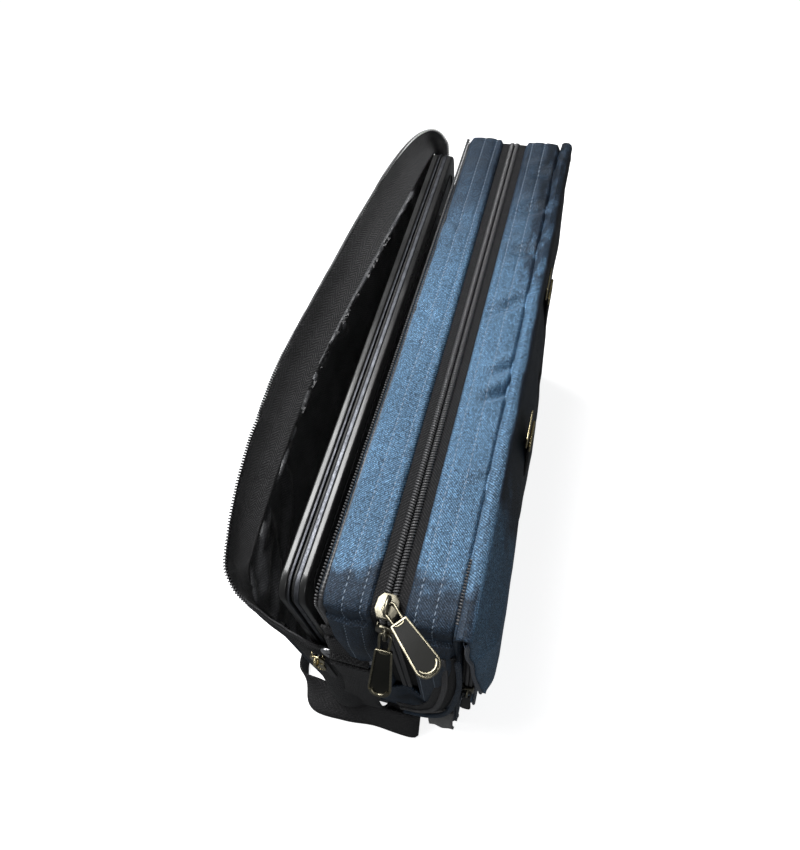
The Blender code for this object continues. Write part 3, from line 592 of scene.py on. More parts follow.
def strip_point(side, u, v):
    """A point on a top strip: u along the case, v from the zip to the outer seam."""
    point, direction = OUTLINE.smooth_at(u * OUTLINE.length, 0.003)
    out = out_of(direction)
    width = abs(FRONT) - ZIP_EDGE
    y = ZIP_EDGE + 0.0002 + v * (width + 0.0004)
    across = v * width
    height = 0.0016 * math.sin(math.pi * min(v * 1.04, 1)) ** 0.7
    height -= 0.0026 * (1 - smooth(0, 0.0022, across))
    for row in SEAM_ROWS:
        height -= 0.00055 * hump(across, row, 0.0012)
    roll = smooth(width - 0.0055, width, across)
    height -= 0.0052 * roll ** 2
    y -= 0.0006 * math.sin(math.pi * roll)
    inner = min(v / 0.12, (1 - v) / 0.10, 1.0)
    height += top_relief(point.x, side * y, point.z) * max(inner, 0.0)
    return Vector((point.x, side * y, point.z)) + out * height


def make_top():
    width = abs(FRONT) - ZIP_EDGE
    length = OUTLINE.length
    for side, end in ((1, "rear"), (-1, "front")):
        inward = -1.0 if side > 0 else 1.0
        made = sheet("top_cloth_" + end, 420, 34, lambda u, v, s=side: strip_point(s, u, v), (length, width),
                     BLUE, 0.0022, inward)
        ride(made, "case", "blue_nylon", "top_strip_" + end)
        tape_run = body_run(0.0026)

        def tape(u, v, s=side, run=tape_run):
            point, direction = run.smooth_at(u * run.length, 0.003)
            lift = -0.0004 * v + 0.0003 * math.sin(v * math.pi) + 0.0016 * smooth(HALF - 0.008, HALF, point.x)
            return Vector((point.x, s * (0.0002 + v * TAPE_WIDTH), point.z)) + out_of(direction) * lift

        made = sheet("zip_tape_" + end, 300, 8, tape, (tape_run.length, TAPE_WIDTH), MAIN_TAPE, 0.0007,
                     inward)
        ride(made, "case", "zip_black", "main_zip_tape_" + end)
        for number, row in enumerate(SEAM_ROWS):
            v = row / width
            steps = 300
            points = [strip_point(side, i / steps, v) for i in range(steps + 1)]
            stitches("top_stitch_%s_%d" % (end, number), Run(points),
                     lambda d, n=length: out_of(OUTLINE.smooth_at(d, 0.003)[1]), STITCH, "case")
    chain_run = body_run(TOP - CHAIN_TOP + 0.0010)
    spots = []
    pitch = 0.00172
    count = int(chain_run.length / pitch)
    for i in range(count):
        for side in (1, -1):
            distance = (i + (0.5 if side > 0 else 0.0)) * pitch
            point, direction = chain_run.smooth_at(distance)
            out = out_of(direction)
            slant = (Y * side + direction * 0.28).normalized()
            spots.append((point + Y * side * 0.0020 + out * 0.0002, slant, out))
    chain = beads("main_zip_coils", spots, (0.0040, 0.00135, 0.0019), COIL)
    ride(chain, "case", "zip_black", "main_zip_chain")


def make_ends():
    """Padded cloth across the ends, below the zip, and the walls and base."""
    for side, end in ((-1, "near"), (1, "far")):
        def place(u, v, s=side):
            y = (u - 0.5) * 2 * (abs(FRONT) + 0.0002)
            z = 0.0006 + v * (ZIP_END - 0.0004)
            edge = smooth(1.0, 0.86, abs(2 * u - 1))
            lift = top_relief(s * HALF, y * 1.0, z) * edge - 0.004 * (1 - edge) ** 2
            lift -= 0.0035 * smooth(0.010, 0.0, z)
            return Vector((s * (HALF + lift), y, z))

        made = sheet("end_cloth_" + end, 48, 60, place, (REAR - FRONT, ZIP_END), BLUE, 0.0024,
                     1.0 if side < 0 else -1.0)
        ride(made, "case", "blue_nylon", "end_panel_" + end)
    for name, y, finish, out in (("front_wall", FRONT, BLUE, -1), ("rear_wall", REAR, SATIN, 1)):
        def wall(u, v, y=y, out=out):
            x = (u - 0.5) * 2 * (HALF - 0.0006)
            z = 0.0008 + v * (TOP - 0.0030)
            x, z = into_corner(x, z, HALF - 0.0006, 0.0008, TOP - 0.0022, 0.009)
            rim = min(1, 12 * min(u, 1 - u)) * min(1, 10 * min(v, 1 - v))
            puff = 0.0011 * rough((x, 0, z), 0.05, y * 90) * rim
            return Vector((x, y - out * 0.0005 + out * puff, z))

        made = sheet(name + "_cloth", 90, 70, wall, (2 * HALF, TOP), finish, 0.0022, 1.0 if out > 0 else -1.0)
        ride(made, "case", "blue_nylon" if finish is BLUE else "lining", name)

    def base(u, v):
        x, y = (u - 0.5) * 2 * (HALF - 0.001), (v - 0.5) * 2 * (abs(FRONT) - 0.0035)
        return Vector((x, y, 0.0002 + 0.0006 * abs(rough((x, y, 0), 0.06, 2.0))))

    made = sheet("base_cloth", 60, 16, base, (2 * HALF, 0.07), BLUE, 0.0026, 1.0)
    ride(made, "case", "blue_nylon", "base_panel")
    frame["nodes"]["base_board"].data.materials.clear()
    frame["nodes"]["base_board"].data.materials.append(BOARD)


def into_corner(x, z, half, low, top, radius):
    """Brings a point of a square sheet inside its rounded corners."""
    for end_z, way in ((top, 1), (low, -1)):
        centre_x, centre_z = half - radius, end_z - way * radius
        dx, dz = abs(x) - centre_x, (z - centre_z) * way
        if dx > 0 and dz > 0:
            reach = max(dx, dz)
            length = math.hypot(dx, dz)
            if length > 1e-9:
                dx, dz = dx * reach / length, dz * reach / length
            x = math.copysign(centre_x + dx, x)
            z = centre_z + way * dz
    return x, z


# ---------------------------------------------------------------- rear sleeve

def half_chain(name, run, side_of, body, size=(0.0030, 0.0012, 0.0017), pitch=0.0019, nodes=()):
    """One half of an open zip: a single row of coils standing out of its tape's edge."""
    spots = []
    distance = 0.0
    while distance < run.length:
        point, direction = run.smooth_at(distance)
        across = side_of(distance)
        slant = (across + direction * 0.25).normalized()
        spots.append((point, slant, direction.cross(slant).normalized()))
        distance += pitch
    return ride(beads(name, spots, size, COIL), body, "zip_black", *nodes)


def make_sleeve():
    low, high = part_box("sleeve_zip_half_body")
    run = body_run(0.0012, low.z)
    seam = Run([Vector((p.x, REAR + 0.0006, p.z)) for p in run.points])
    half_chain("sleeve_coils_body", seam, lambda d: (Y + out_of(seam.smooth_at(d)[1]) * 0.3).normalized(),
               "case", (0.0022, 0.0011, 0.0016), nodes=("sleeve_zip_half_body",))
    depth = SLEEVE_BACK - REAR
    for side, end in ((-1, "near"), (1, "far")):
        def gusset(u, v, s=side):
            y = REAR + 0.0004 + u * (depth - 0.0002)
            z = 0.0012 + v * (SLEEVE_TOP - 0.0012)
            fold = 0.0045 * math.sin(math.pi * u) * math.sin(math.pi * min(v * 1.1, 1)) ** 0.6
            fold += 0.0012 * rough((0, y, z), 0.026, 4.0 + s) * math.sin(math.pi * u)
            if s < 0:
                fold += 0.0110 * math.sin(math.pi * u) ** 0.6 * smooth(0.085, 0.03, z) * smooth(0.0, 0.012, z)
            return Vector((s * (HALF - 0.0004 + fold), y, z))

        made = sheet("sleeve_gusset_" + end, 26, 70, gusset, (depth, SLEEVE_TOP), BLACK_CLOTH, 0.0016,
                     1.0 if side < 0 else -1.0)
        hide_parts("sleeve_end_" + end)
        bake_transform(made)
        low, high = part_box("sleeve_zip_chain_" + end)
        spots = []
        count = int((high.z - low.z) / 0.0018)
        for i in range(count):
            for way in (1, -1):
                z = low.z + (i + (0.5 if way > 0 else 0)) * 0.0018
                centre = Vector((side * (HALF + 0.0046), (low.y + high.y) / 2 + way * 0.0015, z))
                spots.append((centre, (Y * way + Z * 0.28).normalized(), X * side))
        ride(beads("sleeve_coils_" + end, spots, (0.0032, 0.0013, 0.0018), COIL), "case", "zip_black",
             "sleeve_zip_chain_" + end)
    floor = frame["nodes"]["sleeve_floor"].data
    floor.materials.clear()
    floor.materials.append(PLASTIC)


COVER_BACK = JOINTS["sleeve_cover_hinge"]["pos_m"][1]
COVER_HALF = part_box("sleeve_cover_panel")[1].x
COVER_THICK = 0.003


def cover_top(x):
    """Height of the cover's top edge: it rises a little towards the far end."""
    share = min(max((x + HALF) / (2 * HALF), 0.0), 1.0)
    return TOP - 0.038 + 0.026 * share ** 3


def cover_y(x, z):
    """Middle of the cover's cloth: it leans out, and its ends are drawn in to the zip."""
    near = max((-x - 0.3 * HALF) / (0.7 * HALF), 0.0) ** 2
    far = max((x + 0.2 * HALF) / (1.2 * HALF), 0.0) ** 1.3
    above = min(max((z - SLEEVE_TOP) / (TOP - 0.038 - SLEEVE_TOP), 0.0), 1.0)
    near_tuck = 0.016 * min(max(z, 0.0) / SLEEVE_TOP, 1.0) - 0.006 * above
    far_tuck = 0.034 * (max(z, 0.0) / (0.9 * TOP)) ** 1.9
    return COVER_BACK + z * math.tan(COVER_LEAN) - COVER_THICK / 2 - near * near_tuck - far * far_tuck


def cover_spot(u, v, margin):
    """A place on the cover in x and z, for u along it and v up it, with its corners rounded."""
    half, low = COVER_HALF - margin, 0.003 + margin
    x = (2 * u - 1) * half
    top = cover_top(x) - margin
    z = low + (top - low) * v
    for radius, way in ((0.024, -1), (0.012, 1)):
        across, up = x * way - (half - radius), z - (top - radius)
        if across > 0 and up > 0:
            shrink = max(across, up) / math.hypot(across, up)
            x, z = way * (half - radius + across * shrink), top - radius + up * shrink
    return x, z


# the open zip's edge, in mm, y from the cover's bottom seam; then where the band is sewn on, x and z
ZIP_EDGE_ROWS = (
    (-202, -23, 190, -198, 190), (-202, -10, 217, -197.5, 217), (-202, -2, 245, -195, 241),
    (-200, 6, 271, -188, 254), (-193, 15, 280, -180, 262), (-182, 21, 281, -169, 262),
    (-156, 28, 282, -150, 262), (-120, 34, 283, -120, 262), (-84, 37, 283, -84, 262),
    (-48, 38, 284, -48, 262), (0, 35, 284, -4, 263), (48, 31, 284, 44, 265),
    (94, 27, 285, 86, 269), (124, 22, 288, 116, 272), (150, 17, 292, 140, 276),
    (180, 10, 294, 162, 282), (194, 1, 299, 180, 286), (198.5, -9, 302, 193, 285),
    (199.5, -16, 300, 197, 279), (200, -21, 293, 198, 271), (200.5, -23, 283, 199, 261),
    (200.5, -23, 240, 199, 238), (200.5, -20, 193, 199, 193))


def crumple(made, steps, growth, cap):
    """Lets a sheet grow inside its fixed border, so that it buckles into soft folds."""
    rest = [vert.co.copy() for vert in made.data.vertices]
    edge_count = {}
    for face in made.data.polygons:
        for key in face.edge_keys:
            edge_count[key] = edge_count.get(key, 0) + 1
    border = sorted({i for key, count in edge_count.items() if count == 1 for i in key})
    group = made.vertex_groups.new(name="sewn")
    group.add(border, 1.0, "REPLACE")
    cloth = made.modifiers.new("cloth", "CLOTH")
    cloth.settings.vertex_group_mass = "sewn"
    cloth.settings.shrink_min = -growth
    cloth.settings.quality = 6
    cloth.settings.mass = 0.15
    cloth.settings.bending_stiffness = 0.6
    cloth.settings.effector_weights.gravity = 0.0
    cloth.point_cache.frame_end = steps
    scene = bpy.context.scene
    for step in range(1, steps + 1):
        scene.frame_set(step)
    settle(made)
    scene.frame_set(1)
    for vert, start in zip(made.data.vertices, rest):
        shift = vert.co - start
        if shift.length > cap:
            vert.co = start + shift * (cap / shift.length)
    made.vertex_groups.clear()


def make_cover():
    def outer(u, v):
        x, z = cover_spot(u, v, 0.0018)
        rim = min(1, 8 * min(u, 1 - u)) * min(1, 7 * min(v, 1 - v))
        puff = rim ** 0.5 * (0.0034 + 0.0012 * rough((x, 1, z), 0.055, 1.3)) * smooth(0.035, 0.12, z)
        return Vector((x, cover_y(x, z) + COVER_THICK / 2 + puff, z))

    made = sheet("cover_cloth", 100, 74, outer, (2 * COVER_HALF, TOP), BLUE, COVER_THICK - 0.0006, -1.0)
    ride(made, "sleeve_cover", "blue_nylon", "sleeve_cover_panel")

    def inner(u, v):
        x, z = cover_spot(u, v, 0.0004)
        rim = math.sin(math.pi * u) * math.sin(math.pi * v)
        bulge = 0.0022 * rough((x, 2, z), 0.045, 6.0) * rim ** 0.4
        return Vector((x, cover_y(x, z) - COVER_THICK / 2 - 0.0012 - 0.002 * rim ** 0.5 + bulge, z))

    lining = sheet("cover_lining", 120, 84, inner, (2 * COVER_HALF, TOP), SATIN)
    crumple(lining, 16, 0.10, 0.010)
    for vert in lining.data.vertices:
        vert.co.y = min(vert.co.y, cover_y(vert.co.x, vert.co.z) - COVER_THICK / 2 - 0.0006)
    thicken(lining, 0.0006, 0.0)
    settle(lining)
    ride(lining, "sleeve_cover", "lining", "sleeve_cover_lining")

    rows = []
    for zip_x, zip_y, zip_z, x, z in ZIP_EDGE_ROWS:
        sewn = (x * MM, cover_y(x * MM, z * MM) - 0.0036, z * MM)
        rows.append((*sewn, zip_x * MM, COVER_BACK + zip_y * MM, zip_z * MM))
    rows = curve_through(rows, 14)
    zip_line = Run([row[3:] for row in rows])

    def band_point(u, v):
        """v runs from the seam on the cover's edge to the zip's edge."""
        place = u * (len(rows) - 1)
        i = min(int(place), len(rows) - 2)
        row = [a + (b - a) * (place - i) for a, b in zip(rows[i], rows[i + 1])]
        start, finish = Vector(row[:3]), Vector(row[3:])
        along = zip_line.smooth_at(u * zip_line.length, 0.010)[1]
        out = along.cross(finish - start).normalized()
        sag = 0.0026 * math.sin(math.pi * v) + 0.0008 * rough((start.x, v * 0.02, start.z), 0.014, 1.0) * v
        sag -= 0.0004 * hump(v, 0.84, 0.03)
        return start.lerp(finish, v) - out * sag

    made = sheet("cover_zip_band", 340, 16, band_point, (zip_line.length, 0.024), TAPE, 0.0012, 0.0)
    ride(made, "sleeve_cover", "lining", "sleeve_cover_band")
    steps = 340
    edge = Run([band_point(i / steps, 1.05) for i in range(steps + 1)])
    inside = Run([band_point(i / steps, 0.90) for i in range(steps + 1)])

    def across_band(distance):
        return (edge.at(distance)[0] - inside.at(distance / edge.length * inside.length)[0]).normalized()

    half_chain("cover_coils", edge, across_band, "sleeve_cover", (0.0032, 0.00125, 0.0024), 0.0019,
               ("sleeve_zip_half_cover",))
    for number, v in enumerate((0.05, 0.84)):
        run = Run([band_point(i / steps, v) for i in range(steps + 1)])
        spots = []
        distance = 0.001
        while distance < run.length:
            share = distance / run.length
            point, direction = run.smooth_at(distance)
            side = band_point(share, min(v + 0.05, 1)) - band_point(share, v - 0.05)
            out = direction.cross(side).normalized()
            spots.append((point - out * 0.0007, direction, out))
            distance += 0.0032
        row = beads("cover_stitch_%d" % number, spots, (0.0023, 0.0006, 0.0005), DARK_STITCH, (6, 4))
        ride(row, "sleeve_cover", "zip_black")
    rim = []
    for u, v in [(i / 60, 0) for i in range(60)] + [(1, i / 50) for i in range(50)] \
            + [(1 - i / 60, 1) for i in range(60)] + [(0, 1 - i / 50) for i in range(50)]:
        x, z = cover_spot(u, v, 0.0035)
        rim.append((x, cover_y(x, z) + 0.0030, z))
    ride(wire("cover_piping", rim, 0.0016, BINDING, True), "sleeve_cover", "blue_nylon")


# ---------------------------------------------------------------- inner case

INNER_TILT = 0.0065  # how much higher the inner case's far end stands


def make_inner_case():
    """Slim hard case: satin shells, a broad bright band, a thin bright line and a soft seal between them."""
    for end in ("front", "rear"):
        low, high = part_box("inner_case_shell_" + end)
        outline = [(p.x, low.y, p.y) for p in box_outline(high.x, low.z, high.z, 0.014, 0.004)]
        made = solid_outline("inner_shell_" + end, outline, (0, high.y - low.y, 0), SHELL, 0.0011, 4)
        ride(made, "inner_case", "black_shell", "inner_case_shell_" + end)
        face = low.y if end == "front" else high.y
        rim = [(p.x, face, p.y) for p in box_outline(high.x - 0.012, low.z + 0.012, high.z - 0.012, 0.008)]
        ride(wire("inner_bead_" + end, rim, 0.0006, SHELL, True, 2), "inner_case", "black_shell")
    for end, finish, wider in (("front", SILVER, 0.0009), ("rear", GUNMETAL, 0.0)):
        low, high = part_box("inner_case_trim_" + end)
        outline = [(p.x, low.y - wider, p.y) for p in box_outline(high.x, low.z, high.z, 0.0145, 0.0045)]
        made = solid_outline("inner_trim_" + end, outline, (0, high.y - low.y + wider, 0), finish, 0.0008, 4)
        ride(made, "inner_case", "silver_trim", "inner_case_trim_" + end)
    line = [(p.x, low.y + 0.0006, p.y) for p in box_outline(high.x, low.z, high.z, 0.0145, 0.0045)]
    ride(wire("inner_line", line, 0.00055, SILVER, True, 3), "inner_case", "silver_trim")
    low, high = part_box("inner_case_seal")
    outline = [(p.x, low.y, p.y) for p in box_outline(high.x, low.z, high.z, 0.0135, 0.004)]
    made = solid_outline("inner_seal", outline, (0, high.y - low.y, 0), RUBBER, 0.0004, 2)
    ride(made, "inner_case", "black_rubber", "inner_case_seal")
    for piece in bpy.data.objects:
        if piece.type == "MESH" and piece.name.startswith("inner_") and piece.name not in frame["nodes"]:
            for vert in piece.data.vertices:
                vert.co.z += INNER_TILT * (vert.co.x + high.x) / (2 * high.x)


# ---------------------------------------------------------------- front pocket and flap

POCKET_LOW, POCKET_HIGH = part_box("pocket_panel")
POCKET_CORNER = 0.018


def pocket_front(x):
    """How far forward the pocket stands: full towards the near end, flat at the far end."""
    return POCKET_LOW.y - 0.0004 + 0.0088 * smooth(-0.05, 0.11, x)


FLAP_STAND = (  # along the case, and in mm how far forward the flap hangs near its seam and at its hem
    (-205, 56.0, 58.0), (-160, 55.0, 57.4), (-130, 54.4, 56.2), (-100, 53.8, 56.0),
    (-60, 51.8, 56.0), (-20, 51.4, 55.8), (20, 48.6, 54.6), (60, 46.0, 52.8),
    (100, 45.2, 50.0), (140, 45.2, 47.0), (205, 45.0, 45.6))


def flap_stand(x, down):
    """The flap's y, for down from 0 near its seam to 1 at its hem."""
    place = x / MM
    for first, second in zip(FLAP_STAND, FLAP_STAND[1:]):
        if place <= second[0]:
            break
    share = smooth(first[0], second[0], place)
    high, low = (first[i] + (second[i] - first[i]) * share for i in (1, 2))
    return -(high + (low - high) * down) * MM


def flap_front(x):
    """The flap's outer face where the handle hangs."""
    return flap_stand(x, 0.15) - 0.0008


def make_pocket():
    half, low, top = POCKET_HIGH.x, POCKET_LOW.z, POCKET_HIGH.z

    def face(u, v):
        x, z = (u - 0.5) * 2 * half, low + v * (top - low)
        x, z = into_corner(x, z, half, low, top, POCKET_CORNER)
        rim = min(1, 7 * min(u, 1 - u)) * min(1, 6 * min(v, 1 - v))
        puff = 0.0009 * rough((x, 0, z), 0.05, 9.0) * rim + 0.0012 * (1 - rim)
        return Vector((x, pocket_front(x) + puff, z))

    made = sheet("pocket_cloth", 96, 70, face, (2 * half, top - low), BLUE, 0.0014, -1.0)
    ride(made, "case", "blue_nylon", "pocket_panel")
    outline = box_outline(half - 0.0002, low, top, POCKET_CORNER)
    rim = [(p.x, pocket_front(p.x) + 0.0012, p.y) for p in outline]
    ride(wire("pocket_piping", rim, 0.0014, BINDING, True), "case", "blue_nylon")
    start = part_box("pocket_zip_tape")[0].z
    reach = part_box("pocket_zip_tape")[1].x
    back = FRONT - 0.0006
    radii = [0, POCKET_CORNER, 0]
    zipped = Run([(p.x, 0, p.y) for p in rounded([(-half, start), (-half, top), (reach, top)], radii)])
    corners = [(reach, top), (half, top), (half, low), (-half, low), (-half, start)]
    sewn = Run([(p.x, 0, p.y) for p in rounded(corners, [0, POCKET_CORNER, POCKET_CORNER, POCKET_CORNER, 0])])
    for name, run, finish, node, slot in (("pocket_tape", zipped, TAPE, "pocket_zip_tape", "zip_black"),
                                          ("pocket_side", sewn, BLUE, "pocket_gusset", "blue_nylon")):
        def band(u, v, run=run):
            point, direction = run.smooth_at(u * run.length, 0.003)
            front = pocket_front(point.x) + 0.002
            y = front + (back - front) * v
            bow = 0.0006 * math.sin(math.pi * v)
            return Vector((point.x, y, point.z)) + out_of(direction) * (bow - 0.0009)

        made = sheet(name, 200, 8, band, (run.length, abs(back - POCKET_LOW.y)), finish, 0.001, 0.0)
        ride(made, "case", slot, node)
    spots = []
    count = int(zipped.length / 0.0017)
    for i in range(count):
        for way in (1, -1):
            point, direction = zipped.smooth_at((i + (0.5 if way > 0 else 0)) * 0.0017)
            middle = (pocket_front(point.x) + 0.002 + back) / 2
            out = out_of(direction)
            centre = Vector((point.x, middle + way * 0.0014, point.z)) + out * 0.0007
            spots.append((centre, (Y * way + direction * 0.28).normalized(), out))
    coils = beads("pocket_coils", spots, (0.0030, 0.00125, 0.0016), COIL)
    ride(coils, "case", "zip_black", "pocket_zip_chain")
    patches = (("pocket_hook_patch", "case", -0.0006), ("flap_loop_patch", "front_flap", -0.0022))
    for node, body, shift in patches:
        low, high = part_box(node)

        def patch(u, v, low=low, high=high, shift=shift):
            x, z = into_corner((u - 0.5) * (high.x - low.x), v, high.x, 0, 1, 0.0)
            return Vector((x, pocket_front(x) + shift, low.z + (high.z - low.z) * z))

        made = sheet(node + "_pile", 24, 12, patch, (0.06, 0.03), HOOKS, 0.0011, 0.0)
        ride(made, body, "zip_black", node)


FLAP_LOW, FLAP_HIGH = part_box("front_flap")


def flap_point(u, v):
    """u along the case, v from the seam over the top edge down to the hem."""
    half = FLAP_HIGH.x
    x = (u - 0.5) * 2 * half
    root_y, root_z = FRONT - 0.0006, TOP - 0.0012
    out_y, hem_y = flap_stand(x, 0.0), flap_stand(x, 1.0)
    drop = TOP - FLAP_LOW.z
    near = smooth(-half + 0.020, -half, x)
    far = smooth(half - 0.020, half, x)
    edge = max(near, far)
    ridge = 0.0022 * smooth(half, half - 0.03, x)
    run = Run([(root_y, root_z - 0.001), (root_y - 0.0004, root_z + ridge * 0.7),
               (root_y - 0.0020, root_z + ridge), (root_y - 0.0042, root_z + ridge * 0.5),
               (root_y - 0.0058, root_z - 0.0035),
               (root_y + (out_y - root_y) * 0.62, root_z - 0.016), (out_y, root_z - 0.040),
               ((out_y + hem_y) / 2 - 0.0008, root_z - 0.085), (hem_y, TOP - drop)])
    spot = run.at(v * run.length)[0]
    y, z = spot.x, spot.y
    hang = smooth(0.03, 0.35, v)
    pull_in = edge ** 1.5 * 0.0085 * smooth(0.02, 0.3, v) * (1 - 0.55 * smooth(0.6, 1.0, v))
    wave = (0.0016 * rough((x, 0, z), 0.055, 7.0) + 0.0007 * rough((x, 0, z * 0.3), 0.016, 2.0)) * hang
    fold = -0.0018 * hump(x + 0.03 * v, -0.13, 0.02) * hang + 0.0012 * hump(x, -0.09, 0.012) * hang
    fold += 0.0014 * hump(x, 0.15, 0.02) * hang
    y = max(y + wave + fold, y - 0.0007) + pull_in
    y = min(y, FRONT - 0.0004 - 0.0006 * hang)
    corner = edge ** 3 * smooth(0.90, 1.0, v) * 0.010
    return Vector((x * (1 - 0.006 * edge * smooth(0.5, 1, v)), y, z + corner))


def make_flap():
    half = FLAP_HIGH.x
    drop = 0.16
    made = sheet("flap_cloth", 200, 70, flap_point, (2 * half, drop), BLUE, 0.0022, -1.0)
    ride(made, "front_flap", "blue_nylon", "front_flap")
    steps = 60
    near = [flap_point(0.0, i / steps) for i in range(4, steps + 1)]
    hem = [flap_point(i / 200, 1.0) for i in range(1, 200)]
    far = [flap_point(1.0, i / steps) for i in range(steps, 3, -1)]
    run = Run(near + hem + far)

    def binding(u, v):
        """Folded tape round the flap's free edge: v goes round the edge."""
        point, direction = run.smooth_at(u * run.length, 0.003)
        inward = Vector((-direction.z, 0, direction.x))
        angle = (v - 0.5) * 2
        wrap_y = 0.0017 * math.sin(angle * math.pi / 2)
        depth = 0.0062 * max(abs(angle) - 0.22, 0.0)
        depth -= 0.0012 * math.cos(angle * math.pi / 2)
        return point + Vector((0, 0.0011, 0)) + Y * wrap_y + inward * depth

    made = sheet("flap_binding", 320, 12, binding, (run.length, 0.012), BINDING, 0.0006, 0.0)
    ride(made, "front_flap", "blue_nylon")
    row = [flap_point(0.012, i / steps) - Y * 0.0001 for i in range(8, steps - 2)]
    stitches("flap_stitch_near", Run(row), lambda d: -Y, STITCH, "front_flap")
    row = [flap_point(i / 200, 0.955) - Y * 0.0001 for i in range(4, 197)]
    stitches("flap_stitch_hem", Run(row), lambda d: -Y, STITCH, "front_flap")


def make_front_seam():
    """A short stretch of the front compartment's zip that shows where the seam parts near the end."""
    spots = []
    for i in range(21):
        x = -0.193 + i * 0.0017
        part = math.sin(math.pi * i / 20)
        centre = Vector((x, FRONT + 0.0016 + 0.0004 * part, TOP - 0.0006 + 0.0004 * part))
        spots.append((centre, (Y + X * 0.3).normalized(), Z))
    ride(beads("front_seam_coils", spots, (0.0030, 0.0012, 0.0020), COIL), "case", "zip_black")
    groove = [(-HALF + 0.012 + i * 0.004, FRONT + 0.0002 + 0.0003 * math.sin(i * 0.7), TOP - 0.0030)
              for i in range(96)]
    ride(wire("front_seam_groove", groove, 0.0009, BLACK_CLOTH), "case", "blue_nylon")


# ---------------------------------------------------------------- handle

def make_handle():
    low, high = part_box("front_handle")
    stand = 0.0020
    span = high.x - 0.008
    top, bottom = high.z, low.z + 0.008
    line = rounded([(-span, top), (-span, bottom), (span, bottom), (span, top)], [0, 0.016, 0.016, 0], 12)
    run = Run([(p.x, flap_front(p.x) - stand, p.y) for p in line])

    def strap(u, v):
        point, direction = run.smooth_at(u * run.length, 0.004)
        side = Vector((-direction.z, 0, direction.x))
        ring = v * 2 * math.pi
        grip = smooth(0.30, 0.36, u) * smooth(0.70, 0.64, u)
        wide, thick = 0.0078 - 0.0012 * grip, 0.0012 + 0.0009 * grip
        flat = 0.55
        ring_x = math.copysign(abs(math.cos(ring)) ** flat, math.cos(ring)) * wide
        ring_y = math.copysign(abs(math.sin(ring)) ** flat, math.sin(ring)) * thick
        return point + side * ring_x + Y * ring_y

    made = sheet("handle_webbing", 150, 24, strap, (run.length, 0.036), WEBBING)
    close_tube(made)
    ride(made, "front_handle", "webbing", "front_handle")
    for side, end in ((-1, "near"), (1, "far")):
        low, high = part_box("handle_chape_" + end)
        centre = (low + high) / 2
        back = flap_front(centre.x) + 0.0008
        plate = box_outline((high.x - low.x) / 2, low.z, high.z, 0.0012)
        outline = [(p.x + centre.x, back, p.y) for p in plate]
        made = solid_outline("chape_" + end, outline, (0, -0.0013, 0), BRASS, 0.0004, 2)
        ride(made, "front_flap", "pale_brass", "handle_chape_" + end)
        corners = [(-0.0092, -0.0035), (0.0092, -0.0035), (0.0092, 0.0035), (-0.0092, 0.0035)]
        loop = rounded(corners, [0.0015] * 4, 5, True)
        points = [(p.x + centre.x, flap_front(centre.x) - stand, p.y + top + 0.0006) for p in loop[:-1]]
        ride(wire("handle_ring_" + end, points, 0.0009, BRASS, True, 3), "front_handle", "pale_brass")


def close_tube(made):
    """Joins a rolled sheet's two long edges and fills its ends."""
    bm = bmesh.new()
    bm.from_mesh(made.data)
    bmesh.ops.remove_doubles(bm, verts=bm.verts, dist=0.00001)
    open_edges = [edge for edge in bm.edges if edge.is_boundary]
    bmesh.ops.holes_fill(bm, edges=open_edges, sides=0)
    bmesh.ops.recalc_face_normals(bm, faces=bm.faces)
    bm.to_mesh(made.data)
    bm.free()
    made.data.shade_smooth()


# ---------------------------------------------------------------- sliders and pulls

def slider(name, centre, along, out, width, finish, body, slot):
    """A zip slider: shield-shaped top plate, side lips and a bridge for the pull."""
    across = out.cross(along)
    place = Matrix.Translation(centre) @ Matrix((along, across, out)).transposed().to_4x4()
    bm = bmesh.new()
    half = width / 2
    tip = 0.0068
    outline = [(-tip, -half * 0.62, 0.0006), (-tip * 0.35, -half, 0.0006), (tip * 0.55, -half * 0.9, 0.0006),
               (tip, -half * 0.5, 0.0006), (tip, half * 0.5, 0.0006), (tip * 0.55, half * 0.9, 0.0006),
               (-tip * 0.35, half, 0.0006), (-tip, half * 0.62, 0.0006)]
    prism(bm, outline, Vector((0, 0, 0.0019)))
    for way in (-1, 1):
        lip = [(-tip * 0.9, way * half * 0.72, 0.0008), (-tip * 0.3, way * half * 0.98, 0.0008),
               (tip * 0.6, way * half * 0.88, 0.0008), (tip * 0.6, way * half * 0.70, 0.0008),
               (-tip * 0.9, way * half * 0.60, 0.0008)]
        prism(bm, lip, Vector((0, 0, -0.0026)))
    bmesh.ops.bevel(bm, geom=bm.edges[:], offset=0.0005, segments=3, profile=0.5, affect="EDGES", material=-1)
    bmesh.ops.recalc_face_normals(bm, faces=bm.faces)
    made = keep(name, bm, finish)
    moved(made, place)
    ride(made, body, slot, body)
    arch = [(-0.0046, 0, 0.0022), (-0.0040, 0, 0.0046), (-0.0018, 0, 0.0058), (0.0018, 0, 0.0058),
            (0.0040, 0, 0.0046), (0.0046, 0, 0.0022)]
    points = [place @ Vector(p) for p in curve_through(arch, 5)]
    ride(wire(name + "_bridge", points, 0.0011, finish, sides=5), body, slot)


